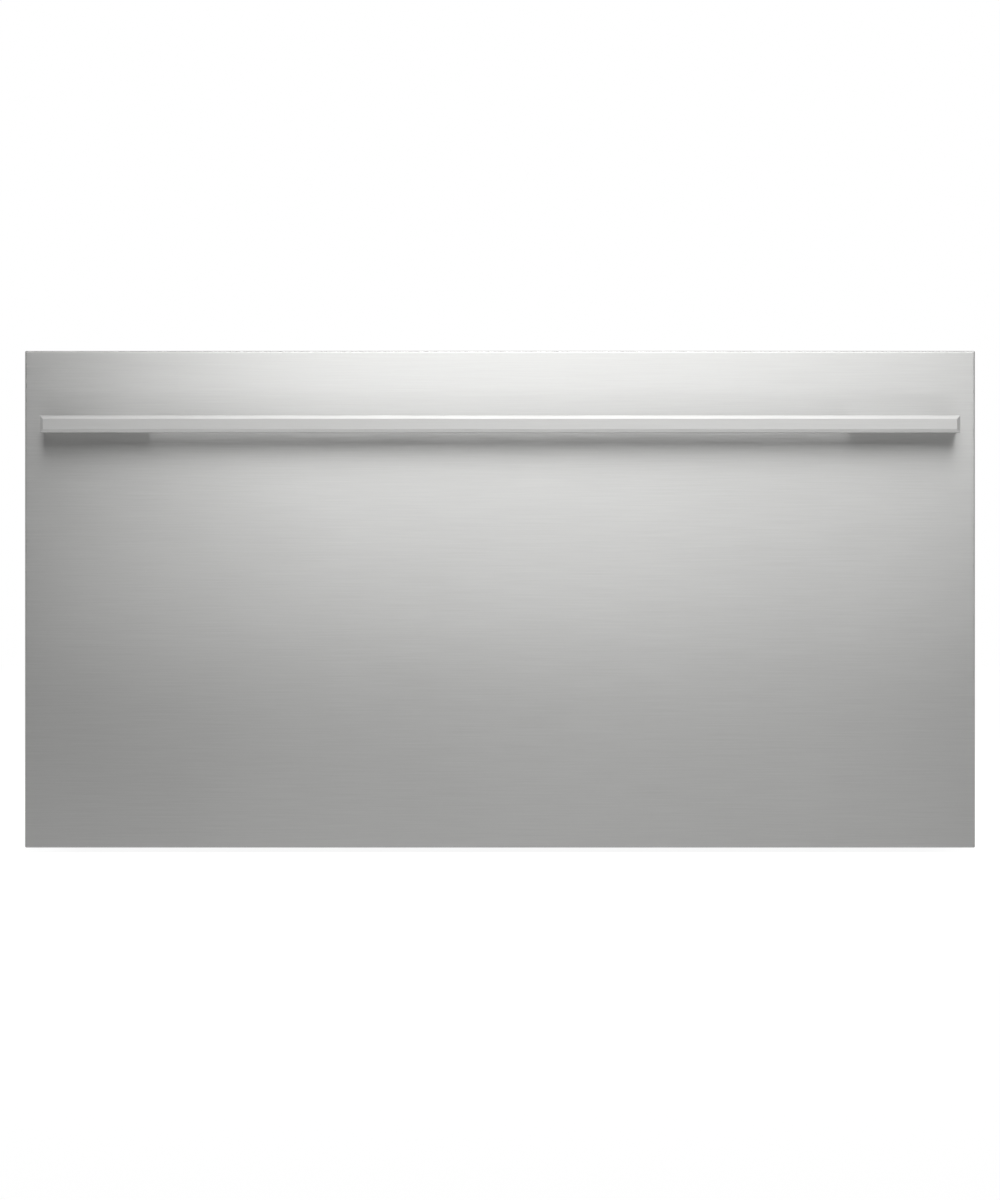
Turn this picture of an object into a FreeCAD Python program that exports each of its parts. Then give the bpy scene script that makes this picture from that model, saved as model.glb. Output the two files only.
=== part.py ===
import FreeCAD, Part
import Sketcher
import math
import os
import re

V = FreeCAD.Vector
doc = FreeCAD.newDocument("refrigerator_drawer")

# Driving sizes, in millimetres. X runs to the right, the drawer opens towards -Y, the floor is Z = 0.
SIZES = (
    # Stainless front panel: a folded tray of sheet around a stiff core.
    ("front_wide", 897),
    ("front_tall", 469),
    ("front_thick", 20),
    ("front_rise", 5),
    ("skin", 1),
    ("skin_bend", 1.5),
    ("skin_lip", 14),
    ("core_play", 0.5),
    # Handle: a bar held off the panel by a block at each end.
    ("handle_inset", 17.65),
    ("handle_tall", 16),
    ("handle_deep", 12),
    ("handle_gap", 28),
    ("handle_drop", 62.5),
    ("handle_bevel", 2.5),
    ("handle_end_bevel", 1),
    ("post_wide", 101),
    ("post_inset", 0.6),
    ("stud_radius", 3),
    ("stud_play", 0.5),
    ("nut_wide", 10),
    ("nut_thick", 5),
    ("thread_deep", 20),
    # Insulated door behind the panel.
    ("door_deep", 42),
    ("door_trim", 2),
    ("door_rise", 2),
    ("door_drop", 6),
    ("shell_sheet", 1),
    ("liner_sheet", 2),
    ("plinth_deep", 14),
    ("plinth_gap", 14),
    ("gasket_thick", 10),
    ("gasket_wide", 18),
    ("gasket_play", 0.2),
    ("gasket_fold", 1),
    ("hanger_tall", 60),
    ("hanger_deep", 26),
    ("hanger_sheet", 2),
    ("hanger_slot", 5),
    # Cabinet.
    ("case_reveal", 18.5),
    ("case_lower", 17),
    ("case_deep", 548),
    ("case_rise", 18),
    ("case_sheet", 1),
    ("frame_sheet", 1.5),
    ("base_sheet", 1.5),
    ("hem_tall", 10),
    ("wall_side", 42),
    ("wall_top", 42),
    ("wall_low", 54),
    ("wall_back", 48),
    ("wall_machine", 42),
    ("machine_deep", 160),
    ("machine_share", 0.469),
    ("cover_inset", 6),
    ("liner_round", 12),
    # Roller slides.
    ("rail_long", 420),
    ("rail_start", 6),
    ("rail_drop", 80),
    ("rail_tall", 54),
    ("slide_thick", 19),
    ("rail_sheet", 1.5),
    ("outer_roller", 2.5),
    ("inner_roller", 2),
    ("roller_long", 5.5),
    ("roller_play", 0.05),
    ("roller_pitch", 150),
    ("cage_sheet", 0.8),
    ("cage_play", 0.6),
    ("cage_long", 190),
    ("slot_edge", 42),
    ("slot_long", 14),
    ("slot_tall", 6),
    # Drawer box.
    ("bracket_sheet", 2),
    ("bracket_flange", 12),
    ("bracket_below", 8),
    ("tub_wall", 2.5),
    ("tub_round", 16),
    ("tub_side_gap", 3),
    ("tub_end_gap", 12),
    ("tub_play", 0.5),
    ("tub_drop", 21),
    ("rim_thick", 3),
    ("rim_over", 14),
    # Loose fittings in the drawer.
    ("tray_deep", 180),
    ("tray_tall", 58),
    ("tray_wall", 2),
    ("slide_play", 0.3),
    ("divider_thick", 3),
    ("divider_tall", 176),
    ("divider_rod", 4),
    ("rod_play", 0.1),
    ("hook_wall", 4),
    # Controls on the top edge of the door.
    ("fascia_wide", 240),
    ("fascia_deep", 30),
    ("fascia_tall", 8),
    ("fascia_wall", 1.6),
    ("button_wide", 16),
    ("button_deep", 9),
    ("button_pitch", 24),
    ("button_play", 0.3),
    ("button_stand", 1),
    ("window_wide", 60),
    ("window_deep", 16),
    # Cold-air unit behind the drawer.
    ("evap_deep", 60),
    ("cover_sheet", 3),
    ("drip_long", 20),
    ("drip_tall", 6),
    ("drip_rise", 15),
    ("riser_gap", 16),
    ("tube_thick", 3),
    ("tube_deep", 24),
    ("fin_sheet", 0.8),
    ("fin_deep", 40),
    ("evap_fan_radius", 50),
    ("blade_thick", 1.4),
    ("hub_share", 0.3),
    ("fan_play", 3),
    # Machine compartment.
    ("can_radius", 66),
    ("can_tall", 148),
    ("can_side", 130),
    ("plug_share", 0.4),
    ("hot_share", 0.72),
    ("cold_share", 0.25),
    ("plate_sheet", 4),
    ("grommet_radius", 9),
    ("grommet_tall", 14),
    ("cond_fan_radius", 55),
    ("cond_side", 364),
    ("shroud_thick", 22),
    ("shaft_radius", 2.5),
    ("shaft_play", 0.05),
    ("pipe_radius", 3),
    ("capillary_radius", 1.2),
    ("drier_radius", 9),
    ("drier_tall", 60),
    ("drain_radius", 6),
    ("drain_bore", 4),
    ("pan_wide", 150),
    ("pan_deep", 110),
    ("pan_tall", 18),
    ("box_wide", 96),
    ("box_deep", 50),
    ("box_tall", 110),
    ("gland_radius", 8),
    ("gland_bore", 3.6),
    ("gland_long", 12),
    ("flange_tall", 14),
    ("vent_wide", 640),
    ("vent_spread", 0.3),
    ("slot_wide", 14),
    ("slot_high", 46),
    ("foot_radius", 18),
    ("foot_thick", 7),
    ("stem_radius", 5),
    ("stem_play", 0.1),
    ("socket_wide", 20),
    ("socket_tall", 22),
    ("foot_travel", 15),
    ("foot_side", 40),
    ("foot_front", 50),
    # Flanges that fix the cabinet into joinery.
    ("lug_wide", 14),
    ("lug_sheet", 2),
    ("lug_hole", 2.75),
    ("lug_tall", 300),
    ("lug_hole_space", 240),
    ("lug_back", 30),
)

# Planes worked out from the sizes.
PLACES = (
    ("case_wide", "front_wide - 2 * case_reveal"),
    ("case_tall", "front_tall - case_lower"),
    ("handle_wide", "front_wide - 2 * handle_inset"),
    ("machine_tall", "machine_share * case_tall"),
    ("face_y", "(handle_gap + handle_deep + front_thick + door_deep + gasket_thick - case_deep) / 2"),
    ("door_back", "face_y - gasket_thick"),
    ("door_front", "door_back - door_deep"),
    ("panel_front", "door_front - front_thick"),
    ("bar_back", "panel_front - handle_gap"),
    ("bar_front", "bar_back - handle_deep"),
    ("case_back", "face_y + case_deep"),
    ("case_top", "case_rise + case_tall"),
    ("panel_top", "front_rise + front_tall"),
    ("bar_top", "panel_top - handle_drop"),
    ("bar_low", "bar_top - handle_tall"),
    ("bar_mid", "bar_top - handle_tall / 2"),
    ("post_mid", "handle_wide / 2 - post_wide / 2"),
    ("door_half", "case_wide / 2 - door_trim"),
    ("door_low", "case_rise + door_rise"),
    ("door_top", "case_top - door_drop"),
    ("floor_top", "case_rise + base_sheet"),
    ("in_half", "case_wide / 2 - wall_side"),
    ("in_top", "case_top - wall_top"),
    ("in_low", "case_rise + wall_low"),
    ("in_back", "case_back - wall_back"),
    ("mach_front", "case_back - machine_deep"),
    ("mach_top", "case_rise + machine_tall"),
    ("step_y", "mach_front - wall_machine"),
    ("step_z", "mach_top + wall_machine"),
    ("rear_y", "case_back - cover_inset"),
    ("plinth_back", "door_back + plinth_deep"),
    ("evap_front", "in_back - evap_deep"),
    ("slide_out", "in_half - slide_thick"),
    ("bracket_in", "slide_out - bracket_sheet"),
    ("tub_half", "bracket_in - tub_side_gap"),
    ("tub_front", "plinth_back + bracket_sheet + tub_play"),
    ("tub_back", "evap_front - tub_end_gap"),
    ("tub_low", "in_low + tub_end_gap"),
    ("tub_top", "in_top - tub_drop"),
    ("rim_low", "tub_top - rim_thick"),
    ("tub_step_y", "step_y - tub_end_gap"),
    ("tub_step_z", "step_z + tub_end_gap"),
    ("rail_mid", "tub_top - rail_drop"),
    ("rail_front", "plinth_back + rail_start"),
    ("rail_back", "rail_front + rail_long"),
    # Roller slide section: depths from the cabinet wall, heights from the middle of the rail.
    ("cage_out", "rail_sheet + cage_play"),
    ("mid_web", "cage_out + cage_sheet + cage_play"),
    ("cage_in", "mid_web + rail_sheet + cage_play"),
    ("inner_tip", "cage_in + cage_sheet + cage_play"),
    ("outer_row_u", "mid_web + cage_play + roller_long / 2"),
    ("inner_row_u", "inner_tip + rail_sheet + cage_play + roller_long / 2"),
    ("outer_tip", "outer_row_u + roller_long / 2 + cage_sheet + 2 * cage_play + rail_sheet"),
    ("mid_tip", "inner_row_u + roller_long / 2 + cage_play"),
    ("outer_half", "rail_tall / 2"),
    ("outer_row", "outer_half - rail_sheet - outer_roller - roller_play"),
    ("mid_half", "outer_row - outer_roller - roller_play"),
    ("inner_row", "mid_half - rail_sheet - inner_roller - roller_play"),
    ("inner_half", "inner_row - inner_roller - roller_play"),
    ("cage_mid", "rail_front + rail_long / 2"),
    # Cold-air unit and machine compartment.
    ("evap_fan_x", "-in_half + 2.4 * evap_fan_radius"),
    ("evap_mid_z", "(step_z + in_top) / 2"),
    ("mach_mid_y", "(mach_front + rear_y) / 2"),
    ("hub_tall", "hub_share * evap_fan_radius"),
    ("evap_row", "(in_top - step_z) / 5"),
    ("evap_fan_y", "evap_front + 2 * cover_sheet"),
    ("shroud_x", "case_wide / 2 - cond_side"),
    ("shroud_half", "1.15 * cond_fan_radius"),
    ("cond_row", "0.6 * cond_fan_radius"),
    ("cond_top", "floor_top + 2.6 * cond_fan_radius"),
    ("cond_fan_x", "shroud_x + fan_play / 2"),
    ("cond_mid_z", "floor_top + 1.3 * cond_fan_radius"),
    ("cond_left", "shroud_x + shroud_thick + 0.6 * cond_fan_radius"),
    ("cond_right", "cond_left + 2.5 * cond_fan_radius"),
    ("coil_left", "evap_fan_x + 1.6 * evap_fan_radius"),
    ("coil_right", "in_half - evap_fan_radius"),
    ("coil_y", "in_back - evap_deep / 2"),
    ("riser_x", "coil_left - riser_gap"),
    ("can_x", "can_side - case_wide / 2"),
    ("drain_x", "can_x - 0.4 * can_radius"),
    ("drain_y", "in_back - 2 * drain_radius"),
    ("can_low", "floor_top + grommet_tall"),
    ("foot_x", "case_wide / 2 - foot_side"),
    ("foot_near", "face_y + foot_front"),
    ("foot_far", "case_back - foot_side"),
    ("fascia_mid", "(door_front + door_back) / 2"),
    ("gland_x", "case_wide / 2 - 2 * foot_side"),
    ("gland_z", "floor_top + machine_tall / 5"),
    ("box_low", "floor_top + machine_tall / 3"),
)

# Flats on small round pieces, and what is counted.
ROLLER_FLATS = 8
HUB_FLATS = 10
DRAIN_FLATS = 12
GLAND_FLATS = 6
FOOT_FLATS = 6
PIPE_FLATS = 8
RAIL_SLOTS = 3
FAN_BLADES = 5
FAN_GRILLE_SLITS = 11
DRIP_SLOTS = 12
REAR_VENT_SLOTS = 15
EVAP_FINS = 8
COND_FINS = 7

# Corners of a fan blade, in shares of the fan's radius, and its pitch in degrees.
BLADE = ((0.25, -0.17), (0.9, -0.36), (0.9, 0.26), (0.75, 0.36), (0.25, 0.17))
BLADE_ROOT = 0.15
BLADE_PITCH = 28

# Middles of the buttons, across the drawer.
BUTTONS = {
    "button_power": "fascia_wide / 2 - fascia_deep",
    "button_colder": "fascia_wide / 2 - fascia_deep - button_pitch",
    "button_warmer": "fascia_wide / 2 - fascia_deep - 2 * button_pitch",
}

NAMES = {}


def fill(sheet, rows):
    for row, (alias, content) in enumerate(rows, 1):
        sheet.set(f"A{row}", alias)
        sheet.set(f"B{row}", content if isinstance(content, str) else str(content))
        sheet.setAlias(f"B{row}", alias)
        NAMES[alias] = f"{sheet.Name}.{alias}"


# A rule is a formula in the names above, and each name in it gets the sheet that holds it.
def rule(text):
    return re.sub(r"[a-z][a-z_]*", lambda word: NAMES.get(word.group(), word.group()), str(text))


dims = doc.addObject("Spreadsheet::Sheet", "dims")
fill(dims, SIZES)
places = doc.addObject("Spreadsheet::Sheet", "places")
NAMES.update((alias, f"places.{alias}") for alias, text in PLACES)
fill(places, [(alias, "=" + rule(text)) for alias, text in PLACES])
doc.recompute()

finished = []


def keep(piece, label):
    piece.Label = label
    finished.append(piece)
    return piece


def bind(thing, rules):
    for prop, text in rules.items():
        thing.setExpression(prop, rule(text))


# Solids between two planes on each axis, and round bars along an axis.
def box(x, y, z):
    solid = doc.addObject("Part::Box", "block")
    for side, axis, (low, high) in zip(("Length", "Width", "Height"), "xyz", (x, y, z)):
        bind(solid, {side: f"({high}) - ({low})", f"Placement.Base.{axis}": low})
    return solid


TURNS = {"x": (V(0, 1, 0), 90), "y": (V(1, 0, 0), -90), "z": (V(0, 0, 1), 0)}


def turn_to(thing, axis):
    thing.Placement = FreeCAD.Placement(V(), FreeCAD.Rotation(*TURNS[axis]))


def stand(solid, axis, centre, low, high):
    turn_to(solid, axis)
    spots = dict(zip([other for other in "xyz" if other != axis], centre))
    spots[axis] = low
    bind(solid, {"Height": f"({high}) - ({low})"})
    bind(solid, {f"Placement.Base.{name}": spot for name, spot in spots.items()})


def rod(axis, centre, radius, low, high):
    solid = doc.addObject("Part::Cylinder", "rod")
    stand(solid, axis, centre, low, high)
    bind(solid, {"Radius": radius})
    return solid


# Small round pieces that repeat are drawn with flats.
def prism(axis, centre, radius, low, high, flats):
    solid = doc.addObject("Part::Prism", "prism")
    solid.Polygon = flats
    stand(solid, axis, centre, low, high)
    bind(solid, {"Circumradius": radius})
    return solid


def fuse(*pieces):
    joined = doc.addObject("Part::MultiFuse", "joined")
    joined.Shapes = list(pieces)
    return joined


def cut(base, *tools):
    trimmed = doc.addObject("Part::Cut", "trimmed")
    trimmed.Base = base
    trimmed.Tool = tools[0] if len(tools) == 1 else fuse(*tools)
    return trimmed


def group(*pieces):
    together = doc.addObject("Part::Compound", "together")
    together.Links = list(pieces)
    return together


# The same piece on the other side of the middle plane.
def mirrored(source):
    copy = doc.addObject("Part::Mirroring", "mirrored")
    copy.Source = source
    copy.Normal = V(1, 0, 0)
    return copy


# Bodies drawn in sketches. An outline is a list of corner rules, a circle is (centre, centre, radius).
def rectangle(a, b):
    return [(a[0], b[0]), (a[1], b[0]), (a[1], b[1]), (a[0], b[1])]


def plane_of(body, role):
    return next(feature for feature in body.Origin.OriginFeatures if feature.Role == role)


def draw_outline(sketch, corners):
    first = sketch.GeometryCount
    count = len(corners)
    spread = [V(math.cos(2 * math.pi * i / count), math.sin(2 * math.pi * i / count)) for i in range(count)]
    sketch.addGeometry([Part.LineSegment(spread[i], spread[(i + 1) % count]) for i in range(count)], False)
    for i in range(count):
        sketch.addConstraint(Sketcher.Constraint("Coincident", first + i, 2, first + (i + 1) % count, 1))
    for i, corner in enumerate(corners):
        for kind, text in zip(("DistanceX", "DistanceY"), corner):
            index = sketch.addConstraint(Sketcher.Constraint(kind, -1, 1, first + i, 1, 1))
            bind(sketch, {f"Constraints[{index}]": text})


def draw_circle(sketch, across, up, radius):
    circle = sketch.addGeometry(Part.Circle(V(), V(0, 0, 1), 1), False)
    for kind, text in (("DistanceX", across), ("DistanceY", up)):
        index = sketch.addConstraint(Sketcher.Constraint(kind, -1, 1, circle, 3, 1))
        bind(sketch, {f"Constraints[{index}]": text})
    index = sketch.addConstraint(Sketcher.Constraint("Radius", circle, 1))
    bind(sketch, {f"Constraints[{index}]": radius})


def draw(body, plane, loops, offset):
    sketch = body.newObject("Sketcher::SketchObject", "sketch")
    sketch.AttachmentSupport = [(plane_of(body, f"{plane}_Plane"), "")]
    sketch.MapMode = "FlatFace"
    bind(sketch, {"AttachmentOffset.Base.z": offset})
    for loop in loops:
        if isinstance(loop, tuple):
            draw_circle(sketch, *loop)
        else:
            draw_outline(sketch, loop)
    return sketch


def new_body(name):
    return doc.addObject("PartDesign::Body", name)


def pad(body, plane, loops, low, high):
    start = f"-({high})" if plane == "XZ" else low
    sketch = draw(body, plane, loops, start)
    feature = body.newObject("PartDesign::Pad", "pad")
    feature.Profile = sketch
    bind(feature, {"Length": f"({high}) - ({low})"})
    return feature


def pocket(body, plane, loops, low, high):
    start = f"-({low})" if plane == "XZ" else high
    sketch = draw(body, plane, loops, start)
    feature = body.newObject("PartDesign::Pocket", "pocket")
    feature.Profile = sketch
    bind(feature, {"Length": f"({high}) - ({low})"})
    doc.recompute()
    return feature


def repeat(body, feature, axis, length, times):
    pattern = body.newObject("PartDesign::LinearPattern", "row")
    pattern.Originals = [feature]
    pattern.Direction = (plane_of(body, f"{axis}_Axis"), [""])
    bind(pattern, {"Length": length})
    pattern.Occurrences = times
    body.Tip = pattern
    doc.recompute()
    return pattern


# Edges are picked by where they lie: a test takes the middle of the edge and its direction.
def dress(body, kind, size_name, size, test):
    doc.recompute()
    tip = body.Tip
    picked = []
    for number, edge in enumerate(tip.Shape.Edges, 1):
        middle = edge.valueAt((edge.FirstParameter + edge.LastParameter) / 2)
        along = edge.tangentAt(edge.FirstParameter)
        if test(middle, along):
            picked.append(f"Edge{number}")
    feature = body.newObject(f"PartDesign::{kind}", kind.lower())
    feature.Base = (tip, picked)
    bind(feature, {size_name: size})
    doc.recompute()
    return feature


def fillet(body, radius, test):
    return dress(body, "Fillet", "Radius", radius, test)


def chamfer(body, size, test):
    return dress(body, "Chamfer", "Size", size, test)


def near(value, target):
    return abs(value - target) < 0.01


def runs(along, axis):
    return abs(getattr(along, axis)) > 0.999


def span(middle, half):
    return f"{middle} - ({half})", f"{middle} + ({half})"


def around(across, up, half):
    return rectangle(span(across, half), span(up, half))


# Front panel.
def make_front_skin():
    body = new_body("front_skin")
    half = "front_wide / 2"
    pad(body, "XZ", [rectangle((f"-{half}", half), ("front_rise", "panel_top"))], "panel_front", "door_front")
    fillet(body, "skin_bend", lambda middle, along: near(middle.y, places.panel_front))
    inner = rectangle((f"skin - {half}", f"{half} - skin"), ("front_rise + skin", "panel_top - skin"))
    pocket(body, "XZ", [inner], "panel_front + skin", "door_front - skin")
    mouth = rectangle(
        (f"skin_lip - {half}", f"{half} - skin_lip"), ("front_rise + skin_lip", "panel_top - skin_lip")
    )
    pocket(body, "XZ", [mouth], "door_front - skin", "door_front")
    holes = [around(x, "bar_mid", "(stud_radius + stud_play)") for x in ("-post_mid", "post_mid")]
    pocket(body, "XZ", holes, "panel_front", "panel_front + skin")
    keep(body, "front_skin")


def make_panel_core():
    body = new_body("panel_core")
    inset = "(skin + core_play)"
    half = f"front_wide / 2 - {inset}"
    outline = rectangle((f"-({half})", half), (f"front_rise + {inset}", f"panel_top - {inset}"))
    pad(body, "XZ", [outline], "panel_front + skin", "door_front - skin")
    wells = [around(x, "bar_mid", "nut_wide") for x in ("-post_mid", "post_mid")]
    pocket(body, "XZ", wells, "panel_front + skin", "door_front - skin")
    keep(body, "panel_core")


def make_handle():
    bar = new_body("handle_bar")
    half = "handle_wide / 2"
    section = [
        ("bar_back", "bar_low"),
        ("bar_back", "bar_top"),
        ("bar_front + handle_bevel / 2", "bar_top"),
        ("bar_front", "bar_top - handle_bevel"),
        ("bar_front", "bar_low + handle_bevel"),
        ("bar_front + handle_bevel / 2", "bar_low"),
    ]
    pad(bar, "YZ", [section], f"-{half}", half)

    def front_end(middle, along):
        return near(abs(middle.x), places.handle_wide / 2) and near(middle.y, places.bar_front)

    chamfer(bar, "handle_end_bevel", front_end)
    keep(bar, "handle_bar")
    for name, side in (("handle_post_left", -1), ("handle_post_right", 1)):
        post = new_body(name)
        ends = [f"{side} * ({half} - post_inset)", f"{side} * ({half} - post_wide)"]
        if side > 0:
            ends.reverse()
        outline = rectangle(ends, ("bar_low + post_inset", "bar_top - post_inset"))
        pad(post, "XZ", [outline], "bar_back", "panel_front")
        thread = (f"{side} * post_mid", "bar_mid", "stud_radius")
        pocket(post, "XZ", [thread], "panel_front - thread_deep", "panel_front")
        keep(post, name)


def make_handle_studs():
    seat = "panel_front + skin"
    studs = []
    half = "nut_wide / 2"
    for x in ("-post_mid", "post_mid"):
        studs.append(rod("y", (x, "bar_mid"), "stud_radius", "panel_front - thread_deep", seat))
        studs.append(box(span(x, half), (seat, f"{seat} + nut_thick"), span("bar_mid", half)))
    keep(group(fuse(*studs[:2]), fuse(*studs[2:])), "handle_studs")


# Insulated door.
def make_door():
    shell = new_body("door_shell")
    outline = rectangle(("-door_half", "door_half"), ("door_low", "door_top"))
    seam = "door_back - liner_sheet"
    pad(shell, "XZ", [outline], "door_front", seam)
    inside = rectangle(
        ("shell_sheet - door_half", "door_half - shell_sheet"),
        ("door_low + shell_sheet", "door_top - shell_sheet"),
    )
    pocket(shell, "XZ", [inside], "door_front + shell_sheet", seam)
    keep(shell, "door_shell")

    raised = rectangle(
        ("plinth_gap - in_half", "in_half - plinth_gap"), ("in_low + plinth_gap", "in_top - plinth_gap")
    )
    liner = new_body("door_liner")
    pad(liner, "XZ", [outline], seam, "door_back")
    pad(liner, "XZ", [raised], "door_back", "plinth_back")
    corner_x = places.in_half - dims.plinth_gap

    def plinth_corner(middle, along):
        return runs(along, "y") and near(abs(middle.x), corner_x) and middle.y > places.door_back

    fillet(liner, "liner_round", plinth_corner)
    chamfer(liner, "2 * liner_sheet", lambda middle, along: near(middle.y, places.plinth_back))
    hollow = rectangle(
        ("plinth_gap + liner_round - in_half", "in_half - plinth_gap - liner_round"),
        ("in_low + plinth_gap + liner_round", "in_top - plinth_gap - liner_round"),
    )
    pocket(liner, "XZ", [hollow], seam, "plinth_back - liner_sheet")
    keep(liner, "door_liner")

    foam = new_body("door_foam")
    pad(foam, "XZ", [inside], "door_front + shell_sheet", seam)
    pad(foam, "XZ", [hollow], seam, "plinth_back - liner_sheet")
    keep(foam, "door_foam")


def make_gasket():
    body = new_body("door_gasket")
    out = "(gasket_wide + 3 * liner_sheet) / 2"
    reach = f"in_half + {out}"
    low = f"in_low - {out}"
    high = f"in_top + {out}"
    path = [("0", low), (reach, low), (reach, high), (f"-({reach})", high), (f"-({reach})", low)]
    route = draw(body, "XZ", [path], "-door_back")
    foot = "gasket_wide / 2"
    sole = "door_back + gasket_wide / 9"
    neck = "door_back + 2 * gasket_wide / 9"
    lip = "face_y - gasket_play"
    section = [
        ("door_back", f"{low} - {foot}"),
        (sole, f"{low} - {foot}"),
        (sole, f"{low} - {foot} / 3"),
        (neck, f"{low} - {foot} / 3"),
        (f"{neck} + gasket_fold", f"{low} - {foot} + gasket_fold"),
        (f"{lip} - gasket_fold", f"{low} - {foot} + gasket_fold"),
        (lip, f"{low} - {foot} + 2 * gasket_fold"),
        (lip, f"{low} + {foot} - 2 * gasket_fold"),
        (f"{lip} - gasket_fold", f"{low} + {foot} - gasket_fold"),
        (f"{neck} + gasket_fold", f"{low} + {foot} - gasket_fold"),
        (neck, f"{low} + {foot} / 3"),
        (sole, f"{low} + {foot} / 3"),
        (sole, f"{low} + {foot}"),
        ("door_back", f"{low} + {foot}"),
    ]
    profile = draw(body, "YZ", [section], "0")
    doc.recompute()
    sweep = body.newObject("PartDesign::AdditivePipe", "sweep")
    sweep.Profile = profile
    sweep.Spine = (route, [f"Edge{number + 1}" for number in range(route.GeometryCount)])
    sweep.Transition = "Right corner"
    keep(body, "door_gasket")


def make_hangers():
    pieces = []
    for side in (-1, 1):
        for level in ("door_low + 2 * hanger_tall", "door_top - 2 * hanger_tall"):
            x = [f"{side} * door_half", f"{side} * (door_half + hanger_sheet)"]
            wide = [f"{side} * door_half", f"{side} * (front_wide / 2 - 2 * skin)"]
            if side < 0:
                x.reverse()
                wide.reverse()
            tall = span(level, "hanger_tall / 2")
            along = box(x, ("door_front", "door_front + hanger_deep"), tall)
            across = box(wide, ("door_front", "door_front + hanger_sheet"), tall)
            angle = fuse(along, across)
            middle = f"{side} * (front_wide / 2 + door_half + hanger_sheet) / 2"
            slots = [
                box(
                    span(middle, "hanger_slot / 2"),
                    ("door_front - hanger_sheet", "door_front + 2 * hanger_sheet"),
                    span(f"{level} {end} hanger_tall / 4", "hanger_slot"),
                )
                for end in "-+"
            ]
            pieces.append(cut(angle, *slots))
    keep(group(*pieces), "panel_hangers")


# Cabinet.
def make_case():
    body = new_body("outer_case")
    half = "case_wide / 2"
    wrap = [
        (f"-{half}", "case_rise + base_sheet"),
        (f"-{half}", "case_top"),
        (half, "case_top"),
        (half, "case_rise + base_sheet"),
        (f"{half} - case_sheet", "case_rise + base_sheet"),
        (f"{half} - case_sheet", "case_top - case_sheet"),
        (f"case_sheet - {half}", "case_top - case_sheet"),
        (f"case_sheet - {half}", "case_rise + base_sheet"),
    ]
    pad(body, "XZ", [wrap], "face_y + frame_sheet", "case_back")
    keep(body, "outer_case")

    back = box(
        (f"case_sheet - {half}", f"{half} - case_sheet"),
        ("case_back - case_sheet", "case_back"),
        ("mach_top + case_sheet", "case_top - case_sheet"),
    )
    keep(back, "back_panel")

    base = new_body("base_plate")
    channel = [
        (f"-{half}", "floor_top - hem_tall"),
        (f"-{half}", "floor_top"),
        (half, "floor_top"),
        (half, "floor_top - hem_tall"),
        (f"{half} - base_sheet", "floor_top - hem_tall"),
        (f"{half} - base_sheet", "case_rise"),
        (f"base_sheet - {half}", "case_rise"),
        (f"base_sheet - {half}", "floor_top - hem_tall"),
    ]
    pad(base, "XZ", [channel], "face_y + frame_sheet", "case_back")
    holes = [around(x, y, "(stem_radius + slide_play)") for x, y in foot_spots().values()]
    pocket(base, "XY", holes, "case_rise", "floor_top")
    sockets = []
    for x, y in foot_spots().values():
        wide = (span(x, "socket_wide / 2"), span(y, "socket_wide / 2"))
        nut = box(*wide, ("floor_top", "floor_top + socket_tall"))
        bore = rod("z", (x, y), "stem_radius + stem_play", "case_rise", "floor_top + 2 * socket_tall")
        sockets.append(cut(nut, bore))
    keep(group(base, *sockets), "base_tray")

    frame = new_body("front_frame")
    outer = rectangle((f"-{half}", half), ("case_rise", "case_top"))
    inner = rectangle(("-in_half", "in_half"), ("in_low", "in_top"))
    pad(frame, "XZ", [outer, inner], "face_y", "face_y + frame_sheet")
    keep(frame, "front_frame")


def foot_spots():
    return {
        "front_left": ("-foot_x", "foot_near"),
        "front_right": ("foot_x", "foot_near"),
        "rear_left": ("-foot_x", "foot_far"),
        "rear_right": ("foot_x", "foot_far"),
    }


def cavity_outline(wall, front):
    return [
        (front, f"in_low - {wall}"),
        (f"step_y + {wall}", f"in_low - {wall}"),
        (f"step_y + {wall}", f"step_z - {wall}"),
        (f"in_back + {wall}", f"step_z - {wall}"),
        (f"in_back + {wall}", f"in_top + {wall}"),
        (front, f"in_top + {wall}"),
    ]


# A moulded form: a side outline carried across the width, with its long and upright corners rounded.
def moulded(name, outline, half, radius, rounded):
    body = new_body(name)
    pad(body, "YZ", [outline], f"-({half})", half)
    doc.recompute()
    reach = body.Shape.BoundBox.XMax
    fillet(body, radius, lambda middle, along: near(abs(middle.x), reach) and rounded(middle, along))
    return body


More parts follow.
